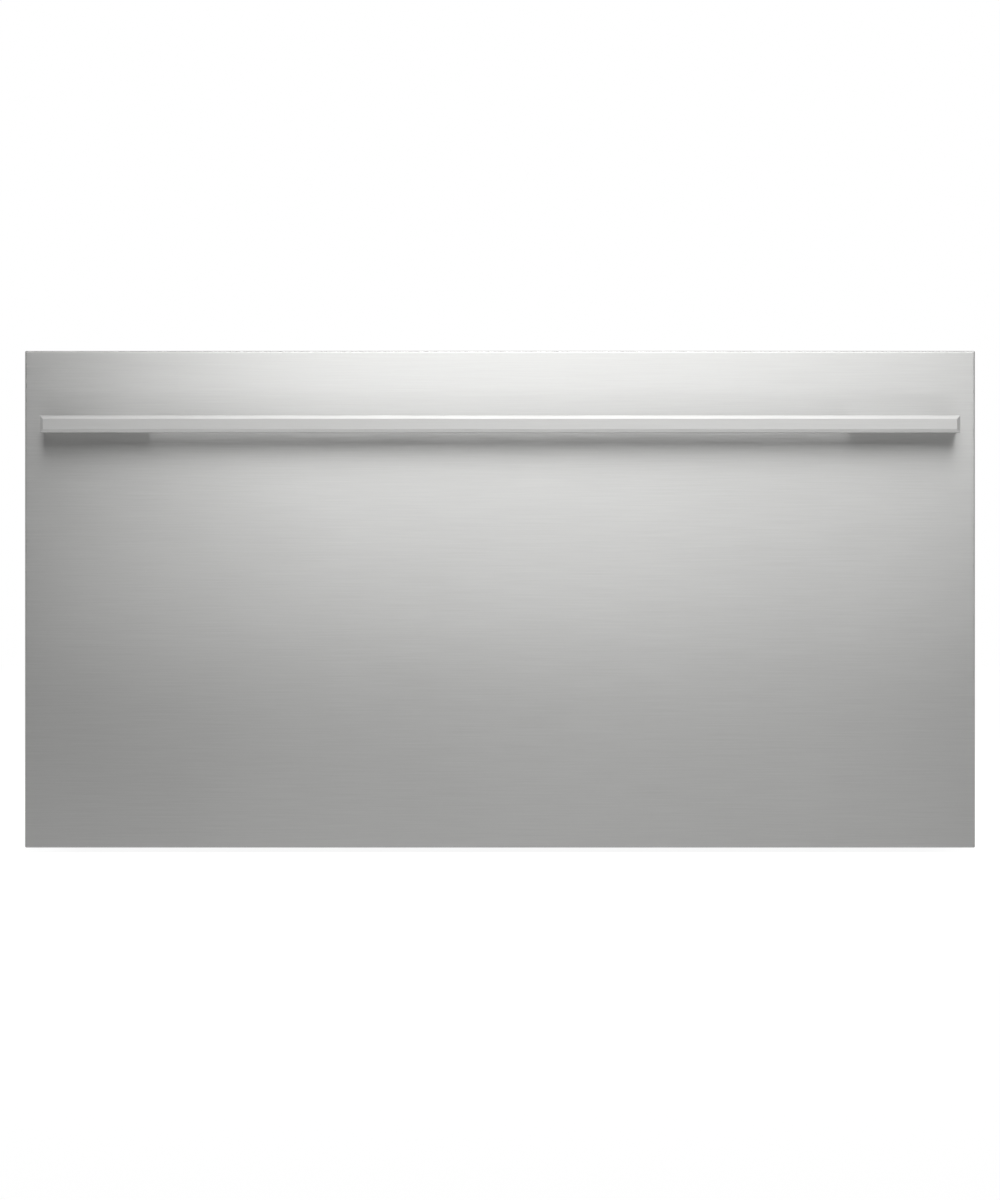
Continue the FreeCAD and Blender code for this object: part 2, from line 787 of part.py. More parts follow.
def make_liner():
    mouth = "face_y + frame_sheet"
    mouth_y = places.face_y + dims.frame_sheet

    def rounded(middle, along):
        return middle.y > mouth_y + 1 and (runs(along, "y") or runs(along, "z"))

    hull = moulded(
        "liner_hull",
        cavity_outline("liner_sheet", mouth),
        "in_half + liner_sheet",
        "liner_round + liner_sheet",
        rounded,
    )
    cavity = moulded("liner_cavity", cavity_outline("0", "face_y"), "in_half", "liner_round", rounded)
    through = ("step_z - 2 * liner_sheet", "step_z + liner_sheet")
    passages = [box(*hole, through) for hole in (drain_hole(), riser_hole())]
    keep(cut(hull, cavity, *passages), "inner_liner")

    foam = new_body("foam_block")
    block = [
        (mouth, "floor_top"),
        ("mach_front - case_sheet", "floor_top"),
        ("mach_front - case_sheet", "mach_top + case_sheet"),
        ("case_back - case_sheet", "mach_top + case_sheet"),
        ("case_back - case_sheet", "case_top - case_sheet"),
        (mouth, "case_top - case_sheet"),
    ]
    pad(foam, "YZ", [block], "case_sheet - case_wide / 2", "case_wide / 2 - case_sheet")
    wells = [around(x, y, "socket_wide / 2") for name, (x, y) in foot_spots().items() if "front" in name]
    pocket(foam, "XY", wells, "floor_top", "floor_top + socket_tall + foot_travel")
    passages = [box(*hole, ("mach_top", "step_z")) for hole in (drain_hole(), riser_hole())]
    keep(cut(foam, hull, *passages), "insulation_foam")

    bulkhead = new_body("machine_bulkhead")
    sheet = [
        ("mach_front", "floor_top"),
        ("mach_front", "mach_top"),
        ("case_back", "mach_top"),
        ("case_back", "mach_top + case_sheet"),
        ("mach_front - case_sheet", "mach_top + case_sheet"),
        ("mach_front - case_sheet", "floor_top"),
    ]
    pad(bulkhead, "YZ", [sheet], "case_sheet - case_wide / 2", "case_wide / 2 - case_sheet")
    passages = [rectangle(*hole) for hole in (drain_hole(), riser_hole())]
    pocket(bulkhead, "XY", passages, "mach_top", "mach_top + case_sheet")
    keep(bulkhead, "machine_bulkhead")


def drain_hole():
    return span("drain_x", "drain_radius + slide_play"), span("drain_y", "drain_radius + slide_play")


def riser_hole():
    return span("riser_x", "2 * pipe_radius"), span("coil_y", "2 * pipe_radius")


def make_lugs():
    pieces = []
    for side in (-1, 1):
        leaf = [f"{side} * case_wide / 2", f"{side} * (case_wide / 2 + lug_sheet)"]
        ear = [f"{side} * case_wide / 2", f"{side} * (case_wide / 2 + lug_wide)"]
        if side < 0:
            leaf.reverse()
            ear.reverse()
        middle = "(case_rise + case_top) / 2"
        tall = (f"{middle} - lug_tall / 2", f"{middle} + lug_tall / 2")
        front = "face_y + lug_back"
        plate = box(leaf, (front, f"{front} + 2 * lug_wide"), tall)
        wing = box(ear, (front, f"{front} + lug_sheet"), tall)
        spot = f"{side} * (case_wide / 2 + lug_wide / 2 + lug_sheet / 2)"
        holes = [
            rod(
                "y",
                (spot, f"{middle} {end} lug_hole_space / 2"),
                "lug_hole",
                f"{front} - lug_sheet",
                f"{front} + 2 * lug_sheet",
            )
            for end in ("-", "+")
        ]
        pieces.append(cut(fuse(plate, wing), *holes))
    keep(group(*pieces), "mounting_flanges")


# Levelling feet, whose stems stand in the sockets of the base tray.
def make_feet():
    for name, spot in foot_spots().items():
        pad_below = prism("z", spot, "foot_radius", "0", "foot_thick", FOOT_FLATS)
        stem = rod("z", spot, "stem_radius", "foot_thick", "floor_top + socket_tall")
        keep(fuse(pad_below, stem), f"foot_{name}")


# Roller slides. Depths u run from the cabinet wall towards the middle, heights w from the middle of the rail.
def at(u, w):
    return (f"{u} - in_half", f"rail_mid + {w}")


def both_ways(upper):
    return upper + [(x, z.replace("rail_mid + ", "rail_mid - ")) for x, z in reversed(upper)]


def make_slides():
    rails = []

    outer = new_body("outer_rail_left")
    section = both_ways([
        at("0", "outer_half"),
        at("outer_tip", "outer_half"),
        at("outer_tip", "(outer_half - 2 * rail_sheet)"),
        at("(outer_tip - rail_sheet)", "(outer_half - 2 * rail_sheet)"),
        at("(outer_tip - rail_sheet)", "(outer_half - rail_sheet)"),
        at("rail_sheet", "(outer_half - rail_sheet)"),
    ])
    pad(outer, "XZ", [section], "rail_front", "rail_back")
    rail_slots(outer, "-in_half", "rail_sheet - in_half")
    rails.append((outer, "outer_rail"))

    middle = new_body("middle_rail_left")
    section = both_ways([
        at("mid_web", "mid_half"),
        at("(mid_tip - rail_sheet)", "mid_half"),
        at("(mid_tip - rail_sheet)", "(mid_half + rail_sheet)"),
        at("mid_tip", "(mid_half + rail_sheet)"),
        at("mid_tip", "(mid_half - rail_sheet)"),
        at("(mid_web + rail_sheet)", "(mid_half - rail_sheet)"),
    ])
    pad(middle, "XZ", [section], "rail_front", "rail_back")
    rails.append((middle, "middle_rail"))

    inner = new_body("inner_rail_left")
    section = both_ways([
        at("slide_thick", "inner_half"),
        at("(inner_tip + rail_sheet)", "inner_half"),
        at("(inner_tip + rail_sheet)", "(inner_half + inner_roller / 2)"),
        at("inner_tip", "(inner_half + inner_roller / 2)"),
        at("inner_tip", "(inner_half - rail_sheet)"),
        at("(slide_thick - rail_sheet)", "(inner_half - rail_sheet)"),
    ])
    pad(inner, "XZ", [section], "rail_front", "rail_back")
    rail_slots(inner, "-slide_out - rail_sheet", "-slide_out")
    rails.append((inner, "inner_rail"))

    for rail, name in rails:
        keep(rail, f"{name}_left")
        keep(mirrored(rail), f"{name}_right")

    for name, web, row_u, row, radius in (
        ("outer_roller_cage", "cage_out", "outer_row_u", "outer_row", "outer_roller"),
        ("inner_roller_cage", "cage_in", "inner_row_u", "inner_row", "inner_roller"),
    ):
        cage = new_body(f"{name}_strip")
        reach = "(roller_long / 2 + roller_play)"
        tip = f"({row_u} + {reach} + cage_sheet)"
        section = both_ways([
            at(web, f"({row} + cage_sheet / 2)"),
            at(tip, f"({row} + cage_sheet / 2)"),
            at(tip, f"({row} - cage_sheet / 2)"),
            at(f"({web} + cage_sheet)", f"({row} - cage_sheet / 2)"),
        ])
        pad(cage, "XZ", [section], "cage_mid - cage_long / 2", "cage_mid + cage_long / 2")
        spots = [f"cage_mid {sign} roller_pitch / 2" for sign in "-+"]
        windows = [
            rectangle(
                (f"{row_u} - {reach} - in_half", f"{row_u} + {reach} - in_half"),
                (f"{spot} - {radius} - roller_play", f"{spot} + {radius} + roller_play"),
            )
            for spot in spots
        ]
        pocket(cage, "XY", windows, "rail_mid - outer_half", "rail_mid + outer_half")
        ends = (f"{row_u} - roller_long / 2 - in_half", f"{row_u} + roller_long / 2 - in_half")
        rows = [(spot, f"rail_mid {sign} {row}") for spot in spots for sign in "-+"]
        rollers = [prism("x", place, radius, *ends, ROLLER_FLATS) for place in rows]
        left = keep(group(cage, *rollers), f"{name}_left")
        keep(mirrored(left), f"{name}_right")


def rail_slots(body, low, high):
    slot = rectangle(span("rail_front + slot_edge", "slot_long / 2"), span("rail_mid", "slot_tall / 2"))
    first = pocket(body, "YZ", [slot], low, high)
    repeat(body, first, "Y", "rail_long - 2 * slot_edge", RAIL_SLOTS)


# Drawer box.
def make_brackets():
    body = new_body("drawer_bracket_left")
    low = "rail_mid - outer_half - bracket_below"
    section = [
        ("-slide_out", low),
        ("-bracket_in", low),
        ("-bracket_in", "rim_low"),
        ("-bracket_in - bracket_flange", "rim_low"),
        ("-bracket_in - bracket_flange", "rim_low - bracket_sheet"),
        ("-slide_out", "rim_low - bracket_sheet"),
    ]
    pad(body, "XZ", [section], "plinth_back", "rail_back")
    foot = rectangle(("-bracket_in", "2 * bracket_flange - bracket_in"), (low, "rim_low - bracket_sheet"))
    pad(body, "XZ", [foot], "plinth_back", "plinth_back + bracket_sheet")
    keep(body, "drawer_bracket_left")
    keep(mirrored(body), "drawer_bracket_right")


def tub_outline(wall, top):
    return [
        (f"tub_front + {wall}", f"tub_low + {wall}"),
        (f"tub_step_y - {wall}", f"tub_low + {wall}"),
        (f"tub_step_y - {wall}", f"tub_step_z + {wall}"),
        (f"tub_back - {wall}", f"tub_step_z + {wall}"),
        (f"tub_back - {wall}", top),
        (f"tub_front + {wall}", top),
    ]


def make_tub():
    def rounded(middle, along):
        return runs(along, "z") or (runs(along, "y") and middle.z < places.rim_low - 1)

    hull = moulded("tub_hull", tub_outline("0", "rim_low"), "tub_half", "tub_round", rounded)
    over_front = "tub_front - tub_play - bracket_sheet + slide_play"
    rim = rectangle(("-tub_half - rim_over", "tub_half + rim_over"), (over_front, "tub_back + rim_over / 2"))
    pad(hull, "XY", [rim], "rim_low", "tub_top")
    inside = tub_outline("tub_wall", "tub_top + tub_round")
    cavity = moulded("tub_cavity", inside, "tub_half - tub_wall", "tub_round - tub_wall", rounded)
    keep(cut(hull, cavity), "drawer_tub")


def make_tray():
    def rounded(middle, along):
        return runs(along, "z")

    back = "(tub_back - tub_wall - 2 * slide_play)"
    half = "(tub_half - tub_wall - 2 * slide_play)"
    top = "(tub_top + slide_play + tray_wall)"
    low = f"({top} - tray_tall)"
    front = f"({back} - tray_deep)"
    hull = moulded("tray_hull", rectangle((front, back), (low, top)), half, "tub_round", rounded)
    ear = f"({half} + rim_over / 2)"
    ears = rectangle((f"-{ear}", ear), (f"{front} + tub_round", f"{back} - tub_round"))
    pad(hull, "XY", [ears], "tub_top + slide_play", top)
    hollow = ((f"{front} + tray_wall", f"{back} - tray_wall"), (f"{low} + tray_wall", f"{top} + tray_wall"))
    inside = rectangle(*hollow)
    cavity = moulded("tray_cavity", inside, f"{half} - tray_wall", "tub_round - tray_wall", rounded)
    keep(cut(hull, cavity), "utility_tray")


# Divider plate that slides across the drawer on a rod fixed between the tub walls.
def make_divider():
    rod_y = "(tub_front + tub_round + divider_rod + slide_play)"
    rod_z = "(tub_step_z + 2 * hook_wall)"
    wall = "tub_half - tub_wall"
    keep(rod("x", (rod_y, rod_z), "divider_rod", f"-({wall})", wall), "divider_rod")
    body = new_body("tub_divider")
    low = "(tub_low + tub_wall + slide_play)"
    plate = rectangle(
        (f"{rod_y} - divider_rod - hook_wall", "tub_step_y - tub_wall - 2 * slide_play"),
        (low, f"{low} + divider_tall"),
    )
    pad(body, "YZ", [plate], "-divider_thick / 2", "divider_thick / 2")
    hook = rectangle(
        (f"{rod_y} - divider_rod - hook_wall", f"{rod_y} + divider_rod + hook_wall"),
        (f"{low} + divider_tall / 2", f"{rod_z} + divider_rod + hook_wall"),
    )
    pad(body, "YZ", [hook], "-4 * divider_thick", "4 * divider_thick")
    pocket(body, "YZ", [(rod_y, rod_z, "divider_rod + rod_play")], "-4 * divider_thick", "4 * divider_thick")
    keep(body, "tub_divider")


# Control strip on the top edge of the door.
def make_controls():
    fascia = new_body("control_fascia")
    x = ("-fascia_wide / 2", "fascia_wide / 2")
    y = ("fascia_mid - fascia_deep / 2", "fascia_mid + fascia_deep / 2")
    pad(fascia, "XY", [rectangle(x, y)], "door_top", "door_top + fascia_tall")
    inside = rectangle(
        ("fascia_wall - fascia_wide / 2", "fascia_wide / 2 - fascia_wall"),
        ("fascia_mid - fascia_deep / 2 + fascia_wall", "fascia_mid + fascia_deep / 2 - fascia_wall"),
    )
    roof = "door_top + fascia_tall - fascia_wall"
    pocket(fascia, "XY", [inside], "door_top", roof)
    window = rectangle(
        ("-fascia_wide / 2 + fascia_deep / 2", "-fascia_wide / 2 + fascia_deep / 2 + window_wide"),
        ("fascia_mid - window_deep / 2", "fascia_mid + window_deep / 2"),
    )
    holes = [button_outline(spot, "button_play") for spot in BUTTONS.values()]
    pocket(fascia, "XY", [window, *holes], roof, "door_top + fascia_tall")
    keep(fascia, "control_fascia")

    glass = new_body("display_window")
    pad(glass, "XY", [window], roof, "door_top + fascia_tall")
    keep(glass, "display_window")

    for name, spot in BUTTONS.items():
        button = new_body(name)
        top = "door_top + fascia_tall + button_stand"
        top_z = places.door_top + dims.fascia_tall + dims.button_stand
        pad(button, "XY", [button_outline(spot, "0")], f"{roof} - fascia_wall", top)
        chamfer(button, "button_play", lambda middle, along: near(middle.z, top_z))
        wing = button_outline(spot, "fascia_wall")
        pad(button, "XY", [wing], f"{roof} - fascia_wall - slide_play", f"{roof} - slide_play")
        keep(button, name)


def button_outline(spot, play):
    return rectangle(
        (f"{spot} - button_wide / 2 - {play}", f"{spot} + button_wide / 2 + {play}"),
        (f"fascia_mid - button_deep / 2 - {play}", f"fascia_mid + button_deep / 2 + {play}"),
    )


# A fan rotor turns about the local Z axis: a hub with a ring of flat blades, each pitched about its length.
def make_rotor(name, radius):
    body = new_body(name)
    hub = body.newObject("PartDesign::AdditivePrism", "hub")
    hub.Polygon = HUB_FLATS
    bind(hub, {"Circumradius": f"hub_share * {radius}", "Height": f"hub_share * {radius}"})
    doc.recompute()
    outline = [(f"{out} * {radius}", f"{across} * {radius}") for out, across in BLADE]
    blade = draw(body, "XY", [outline], f"{BLADE_ROOT} * {radius}")
    blade.AttachmentOffset = FreeCAD.Placement(V(), FreeCAD.Rotation(V(1, 0, 0), BLADE_PITCH))
    vane = body.newObject("PartDesign::Pad", "vane")
    vane.Profile = blade
    bind(vane, {"Length": "blade_thick"})
    doc.recompute()
    ring = body.newObject("PartDesign::PolarPattern", "ring")
    ring.Originals = [vane]
    ring.Axis = (plane_of(body, "Z_Axis"), [""])
    ring.Angle = 360
    ring.Occurrences = FAN_BLADES
    body.Tip = ring
    doc.recompute()
    pocket(body, "XY", [("0", "0", "shaft_radius + shaft_play")], "0", f"hub_share * {radius}")
    return body


# Cold-air unit behind the drawer.
def make_cold_unit():
    cover = new_body("evaporator_cover")
    slim = "in_half - slide_play"
    face = rectangle((f"-({slim})", slim), ("step_z + slide_play", "in_top - slide_play"))
    pad(cover, "XZ", [face], "evap_front", "evap_front + cover_sheet")
    corner = places.in_half - dims.slide_play
    fillet(cover, "liner_round", lambda middle, along: runs(along, "y") and near(abs(middle.x), corner))
    bar = "evap_fan_radius / 10"
    slit = rectangle(
        ("evap_fan_x - evap_fan_radius", f"evap_fan_x - evap_fan_radius + {bar}"),
        ("evap_mid_z - evap_fan_radius", "evap_mid_z + evap_fan_radius"),
    )
    first = pocket(cover, "XZ", [slit], "evap_front", "evap_front + cover_sheet")
    repeat(cover, first, "X", f"2 * evap_fan_radius - {bar}", FAN_GRILLE_SLITS)
    drip = "step_z + drip_rise"
    slot = rectangle(("coil_left", "coil_left + drip_long"), (drip, f"{drip} + drip_tall"))
    first = pocket(cover, "XZ", [slot], "evap_front", "evap_front + cover_sheet")
    repeat(cover, first, "X", "coil_right - coil_left - drip_long", DRIP_SLOTS)
    keep(cover, "evaporator_cover")

    fan = make_rotor("evaporator_fan", "evap_fan_radius")
    turn_to(fan, "y")
    bind(fan, {"Placement.Base.x": "evap_fan_x", "Placement.Base.z": "evap_mid_z"})
    bind(fan, {"Placement.Base.y": "evap_fan_y"})
    keep(fan, "evaporator_fan")
    hub_back = "evap_fan_y + hub_tall"
    centre = ("evap_fan_x", "evap_mid_z")
    frame = span("evap_fan_x", "hub_tall"), span("evap_mid_z", "hub_tall")
    can = box(frame[0], (f"{hub_back} + slide_play", "in_back"), frame[1])
    shaft = rod("y", centre, "shaft_radius", "evap_fan_y", f"{hub_back} + cover_sheet")
    keep(fuse(can, shaft), "evaporator_fan_motor")

    rows = [f"(step_z + {row} * evap_row)" for row in (1, 2, 3, 4)]
    tall = ("step_z + slide_play", "in_top - slide_play")
    coil = finned_coil("coil_left", "coil_right", "coil_y", rows, *tall, EVAP_FINS, 0)
    hooks = [
        box((x, f"{x} + fin_sheet"), ("coil_y", "in_back"), tall)
        for x in ("coil_left + 2 * fin_sheet", "coil_right - 3 * fin_sheet")
    ]
    keep(fuse(*coil, *hooks), "evaporator_coil")


# Flat tubes joined end to end in a serpentine, with upright fins across them.
def finned_coil(left, right, y, rows, low, high, count, first):
    half = "tube_thick / 2"
    deep = span(y, "tube_deep / 2")
    pieces = [box((left, right), deep, (f"{row} - {half}", f"{row} + {half}")) for row in rows]
    sides = ((right, f"{right} + tube_thick"), (f"{left} - tube_thick", left))
    for number, (lower, upper) in enumerate(zip(rows, rows[1:]), first):
        pieces.append(box(sides[number % 2], deep, (f"{lower} - {half}", f"{upper} + {half}")))
    for step in range(count):
        x = f"({left} + {step + 0.5} * ({right} - {left}) / {count})"
        pieces.append(box((x, f"{x} + fin_sheet"), span(y, "fin_deep / 2"), (low, high)))
    return pieces


def make_light():
    strip = box(
        ("-in_half / 2", "in_half / 2"),
        ("face_y + 2 * liner_round", "face_y + 4 * liner_round"),
        ("in_top - 2 * cover_sheet", "in_top"),
    )
    keep(strip, "interior_light")


# Machine compartment.
def make_compressor():
    can = new_body("compressor")
    bind(can, {"Placement.Base.x": "can_x", "Placement.Base.y": "mach_mid_y", "Placement.Base.z": "can_low"})
    half = [
        ("0", "plate_sheet"),
        ("can_radius", "plate_sheet"),
        ("can_radius", "can_tall"),
        ("0", "can_tall"),
    ]
    sketch = draw(can, "XZ", [half], "0")
    spin = can.newObject("PartDesign::Revolution", "spin")
    spin.Profile = sketch
    spin.ReferenceAxis = (sketch, ["V_Axis"])
    foot = rectangle(("-can_radius", "can_radius"), ("-can_radius", "can_radius"))
    pad(can, "XY", [foot], "0", "plate_sheet")
    low = "plug_share * can_tall"
    plug = rectangle(("-can_radius / 4", "can_radius / 4"), (low, f"{low} + can_radius / 2"))
    pad(can, "YZ", [plug], "can_radius - 2 * plate_sheet", "can_radius + 3 * plate_sheet")
    keep(can, "compressor")
    reach = "(can_radius - grommet_radius)"
    grommets = []
    for x in ("-", "+"):
        for y in ("-", "+"):
            across = span(f"can_x {x} {reach}", "grommet_radius")
            along = span(f"mach_mid_y {y} {reach}", "grommet_radius")
            grommets.append(box(across, along, ("floor_top", "can_low")))
    keep(group(*grommets), "compressor_grommets")


def make_condenser():
    rows = [f"(cond_mid_z + {step} * cond_row / 2)" for step in (-3, -1, 1, 3)]
    coil = finned_coil("cond_left", "cond_right", "mach_mid_y", rows, "floor_top", "cond_top", COND_FINS, 1)
    keep(fuse(*coil), "condenser_coil")

    shroud = new_body("condenser_fan_shroud")
    plate = rectangle(span("mach_mid_y", "shroud_half"), ("floor_top", "cond_mid_z + shroud_half"))
    hole = ("mach_mid_y", "cond_mid_z", "cond_fan_radius + fan_play")
    pad(shroud, "YZ", [plate, hole], "shroud_x", "shroud_x + shroud_thick")
    keep(shroud, "condenser_fan_shroud")

    fan = make_rotor("condenser_fan", "cond_fan_radius")
    turn_to(fan, "x")
    bind(fan, {"Placement.Base.y": "mach_mid_y", "Placement.Base.z": "cond_mid_z"})
    bind(fan, {"Placement.Base.x": "cond_fan_x"})
    keep(fan, "condenser_fan")

    centre = ("mach_mid_y", "cond_mid_z")
    back = "shroud_x + shroud_thick"
    hub = "hub_share * cond_fan_radius"
    frame = span("mach_mid_y", hub), span("cond_mid_z", hub)
    motor = box((back, f"{back} + 0.35 * cond_fan_radius"), *frame)
    shaft = rod("x", centre, "shaft_radius", "cond_fan_x", f"{back} + cover_sheet")
    strut = box(
        (back, f"{back} + cover_sheet"),
        span("mach_mid_y", "shroud_half"),
        span("cond_mid_z", "hook_wall"),
    )
    keep(fuse(motor, shaft, strut), "condenser_fan_motor")


def make_rear():
    cover = new_body("rear_cover")
    half = "case_wide / 2 - case_sheet"
    sheet = rectangle((f"-({half})", half), ("floor_top", "mach_top"))
    pad(cover, "XZ", [sheet], "rear_y - case_sheet", "rear_y")
    flange = rectangle((f"-({half})", half), ("mach_top - flange_tall", "mach_top"))
    pad(cover, "XZ", [flange], "rear_y", "case_back")
    for sign in "-+":
        middle = f"floor_top + (1 {sign} vent_spread) * machine_tall / 2"
        slot = rectangle(("-vent_wide / 2", "slot_wide - vent_wide / 2"), span(middle, "slot_high / 2"))
        first = pocket(cover, "XZ", [slot], "rear_y - case_sheet", "rear_y")
        repeat(cover, first, "X", "vent_wide - slot_wide", REAR_VENT_SLOTS)
    pocket(cover, "XZ", [around("gland_x", "gland_z", "gland_radius")], "rear_y - case_sheet", "rear_y")
    keep(cover, "rear_cover")

    gland = prism("y", ("gland_x", "gland_z"), "gland_radius", "rear_y - gland_long", "rear_y", GLAND_FLATS)
    collar = box(
        ("gland_x - 1.5 * gland_radius", "gland_x + 1.5 * gland_radius"),
        ("rear_y", "rear_y + case_sheet"),
        ("gland_z - 1.5 * gland_radius", "gland_z + 1.5 * gland_radius"),
    )
    bore = rod("y", ("gland_x", "gland_z"), "gland_bore", "rear_y - 2 * gland_long", "rear_y + gland_long")
    keep(cut(fuse(gland, collar), bore), "cable_gland")

    right = "case_wide / 2 - case_sheet"
    control = new_body("control_box")
    across = rectangle(
        (f"{right} - box_wide - case_sheet", f"{right} - case_sheet"), ("mach_front", "mach_front + box_deep")
    )
    pad(control, "XY", [across], "box_low", "box_low + box_tall")
    lid = rectangle(
        (f"{right} - box_wide - case_sheet - cover_sheet", f"{right} - case_sheet"),
        ("mach_front", "mach_front + box_deep + cover_sheet"),
    )
    pad(control, "XY", [lid], "box_low + box_tall", "box_low + box_tall + 2 * cover_sheet")
    keep(control, "control_box")


# Water from the cold-air unit runs down a tube into a pan that the compressor warms.
def make_drain():
    pan_low = "can_low + can_tall"
    x = span("can_x", "pan_wide / 2")
    y = span("mach_mid_y", "pan_deep / 2")
    pan = new_body("pan")
    pad(pan, "XY", [rectangle(x, y)], pan_low, f"{pan_low} + pan_tall")
    inner = rectangle(
        span("can_x", "(pan_wide / 2 - tray_wall)"), span("mach_mid_y", "(pan_deep / 2 - tray_wall)")
    )
    pocket(pan, "XY", [inner], f"{pan_low} + tray_wall", f"{pan_low} + pan_tall")
    centre = ("drain_x", "drain_y")
    outside = prism("z", centre, "drain_radius", f"{pan_low} + pan_tall / 2", "step_z", DRAIN_FLATS)
    bore = prism("z", centre, "drain_bore", pan_low, "step_z + pan_tall", DRAIN_FLATS)
    keep(group(pan, cut(outside, bore)), "defrost_drain")


# Copper pipes run straight between mitred corners.
def pipe(corners, radius):
    points = [V(*corner) for corner in corners]
    along = (points[1] - points[0]).normalize()
    side = V(0, 0, 1).cross(along) if abs(along.z) < 0.5 else V(1, 0, 0)
    up = along.cross(side)
    turns = [math.tau * (step + 0.5) / PIPE_FLATS for step in range(PIPE_FLATS + 1)]
    ring = [points[0] + side * (radius * math.cos(turn)) + up * (radius * math.sin(turn)) for turn in turns]
    return Part.makePolygon(points).makePipeShell([Part.makePolygon(ring)], True, False, 1)


def make_pipes():
    bend = 4 * dims.pipe_radius
    side = places.can_x + dims.can_radius
    y = places.mach_mid_y
    hot_z = places.can_low + dims.hot_share * dims.can_tall
    cold_z = places.can_low + dims.cold_share * dims.can_tall
    over = places.cond_top + bend
    lane = y - 2 * bend
    inlet = places.cond_mid_z + 3 * places.cond_row / 2
    outlet = places.cond_mid_z - 3 * places.cond_row / 2
    right = places.cond_right + 1.5 * bend
    discharge = [
        (side, y, hot_z),
        (side + 1.5 * bend, y, hot_z),
        (side + 1.5 * bend, lane, hot_z),
        (side + 1.5 * bend, lane, over),
        (right, lane, over),
        (right, y, over),
        (right, y, inlet),
        (places.cond_right, y, inlet),
    ]
    riser_y = places.coil_y - dims.pipe_radius / 2
    suction = [
        (side, riser_y, cold_z),
        (places.riser_x, riser_y, cold_z),
        (places.riser_x, riser_y, places.step_z + places.evap_row),
        (places.coil_left, riser_y, places.step_z + places.evap_row),
    ]
    drier_x = right + dims.drier_radius + bend / 2
    liquid = [(places.cond_right, y, outlet), (drier_x, y, outlet), (drier_x, y, outlet + bend)]
    drier_top = outlet + bend + dims.drier_tall
    capillary_y = places.coil_y + dims.pipe_radius
    capillary = [
        (drier_x, y, drier_top),
        (drier_x, y, over + bend),
        (drier_x, capillary_y, over + bend),
        (places.riser_x, capillary_y, over + bend),
        (places.riser_x, capillary_y, places.step_z + 4 * places.evap_row),
        (places.coil_left, capillary_y, places.step_z + 4 * places.evap_row),
    ]
    lines = [pipe(line, dims.pipe_radius) for line in (discharge, suction, liquid)]
    lines.append(pipe(capillary, dims.capillary_radius))
    drier = Part.makeCylinder(dims.drier_radius, dims.drier_tall, V(drier_x, y, outlet + bend))
    circuit = doc.addObject("Part::Feature", "refrigerant_pipes")
    circuit.Shape = Part.Compound([*lines, drier])
    circuit.Placement = FreeCAD.Placement()
    keep(circuit, "refrigerant_pipes")


def assemble():
    make_front_skin()
    make_panel_core()
    make_handle()
    make_handle_studs()
    make_door()
    make_gasket()
    make_hangers()
    make_case()
    make_liner()
    make_lugs()
    make_feet()
    make_slides()
    make_brackets()
    make_tub()
    make_tray()
    make_divider()
    make_controls()
    make_cold_unit()
    make_light()
    make_compressor()
    make_condenser()
    make_rear()
    make_drain()
    make_pipes()


assemble()
doc.recompute()

faults = [thing.Name for thing in doc.Objects if {"Invalid", "Error"} & set(thing.State)]
faults += [piece.Label for piece in finished if piece.Shape.isNull() or not piece.Shape.isValid()]
for feature in doc.Objects:
    if feature.TypeId == "PartDesign::Pocket" and not faults:
        if feature.Shape.Volume >= feature.BaseFeature.Shape.Volume:
            faults.append(feature.Name)
if faults:
    raise RuntimeError("These did not build: " + ", ".join(faults))

os.makedirs("parts", exist_ok=True)
for piece in finished:
    piece.Shape.exportStep(f"parts/{piece.Label}.step")
    print(piece.Label, len(piece.Shape.Solids), round(piece.Shape.Volume / 1000, 1))
print(len(finished), "files")
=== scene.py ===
import math

import bmesh
import bpy
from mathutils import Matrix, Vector


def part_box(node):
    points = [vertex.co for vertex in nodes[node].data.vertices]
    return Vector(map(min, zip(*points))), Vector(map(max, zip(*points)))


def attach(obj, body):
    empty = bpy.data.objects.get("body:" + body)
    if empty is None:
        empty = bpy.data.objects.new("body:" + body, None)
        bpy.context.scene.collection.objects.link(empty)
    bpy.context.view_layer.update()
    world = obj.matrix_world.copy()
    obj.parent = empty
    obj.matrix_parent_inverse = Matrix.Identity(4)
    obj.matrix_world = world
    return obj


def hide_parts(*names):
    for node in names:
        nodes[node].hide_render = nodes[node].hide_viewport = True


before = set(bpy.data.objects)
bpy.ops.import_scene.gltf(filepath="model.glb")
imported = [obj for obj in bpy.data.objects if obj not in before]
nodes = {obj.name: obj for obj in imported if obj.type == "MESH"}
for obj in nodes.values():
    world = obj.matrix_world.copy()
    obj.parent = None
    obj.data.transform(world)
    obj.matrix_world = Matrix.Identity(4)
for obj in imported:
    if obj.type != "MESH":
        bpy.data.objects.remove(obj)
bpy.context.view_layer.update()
mm = 0.001
sides = ("left", "right")
# The least radius, in mm, of a ring that closes to a point.
tipRadius = 0.01


# The named lengths of a dictionary, from mm into metres.
def sizes(shape, *keys):
    return [shape[key] * mm for key in keys]


def putObject(name, data):
    placed = bpy.data.objects.new(name, data)
    bpy.context.scene.collection.objects.link(placed)
    return placed


# A node tree to fill, of a material, a world or the like.
def emptyTree(block):
    block.use_nodes = True
    block.node_tree.nodes.clear()
    return block.node_tree


# Camera: a long lens square to the front panel, at the height of its middle.
cameraSetup = {
    "distance": 4.5, "aimX": 0.0, "aimZ": 0.2388, "frameTall": 1.1328, "panelFront": -0.290, "sensor": 36.0,
    "sees": 60.0,
}


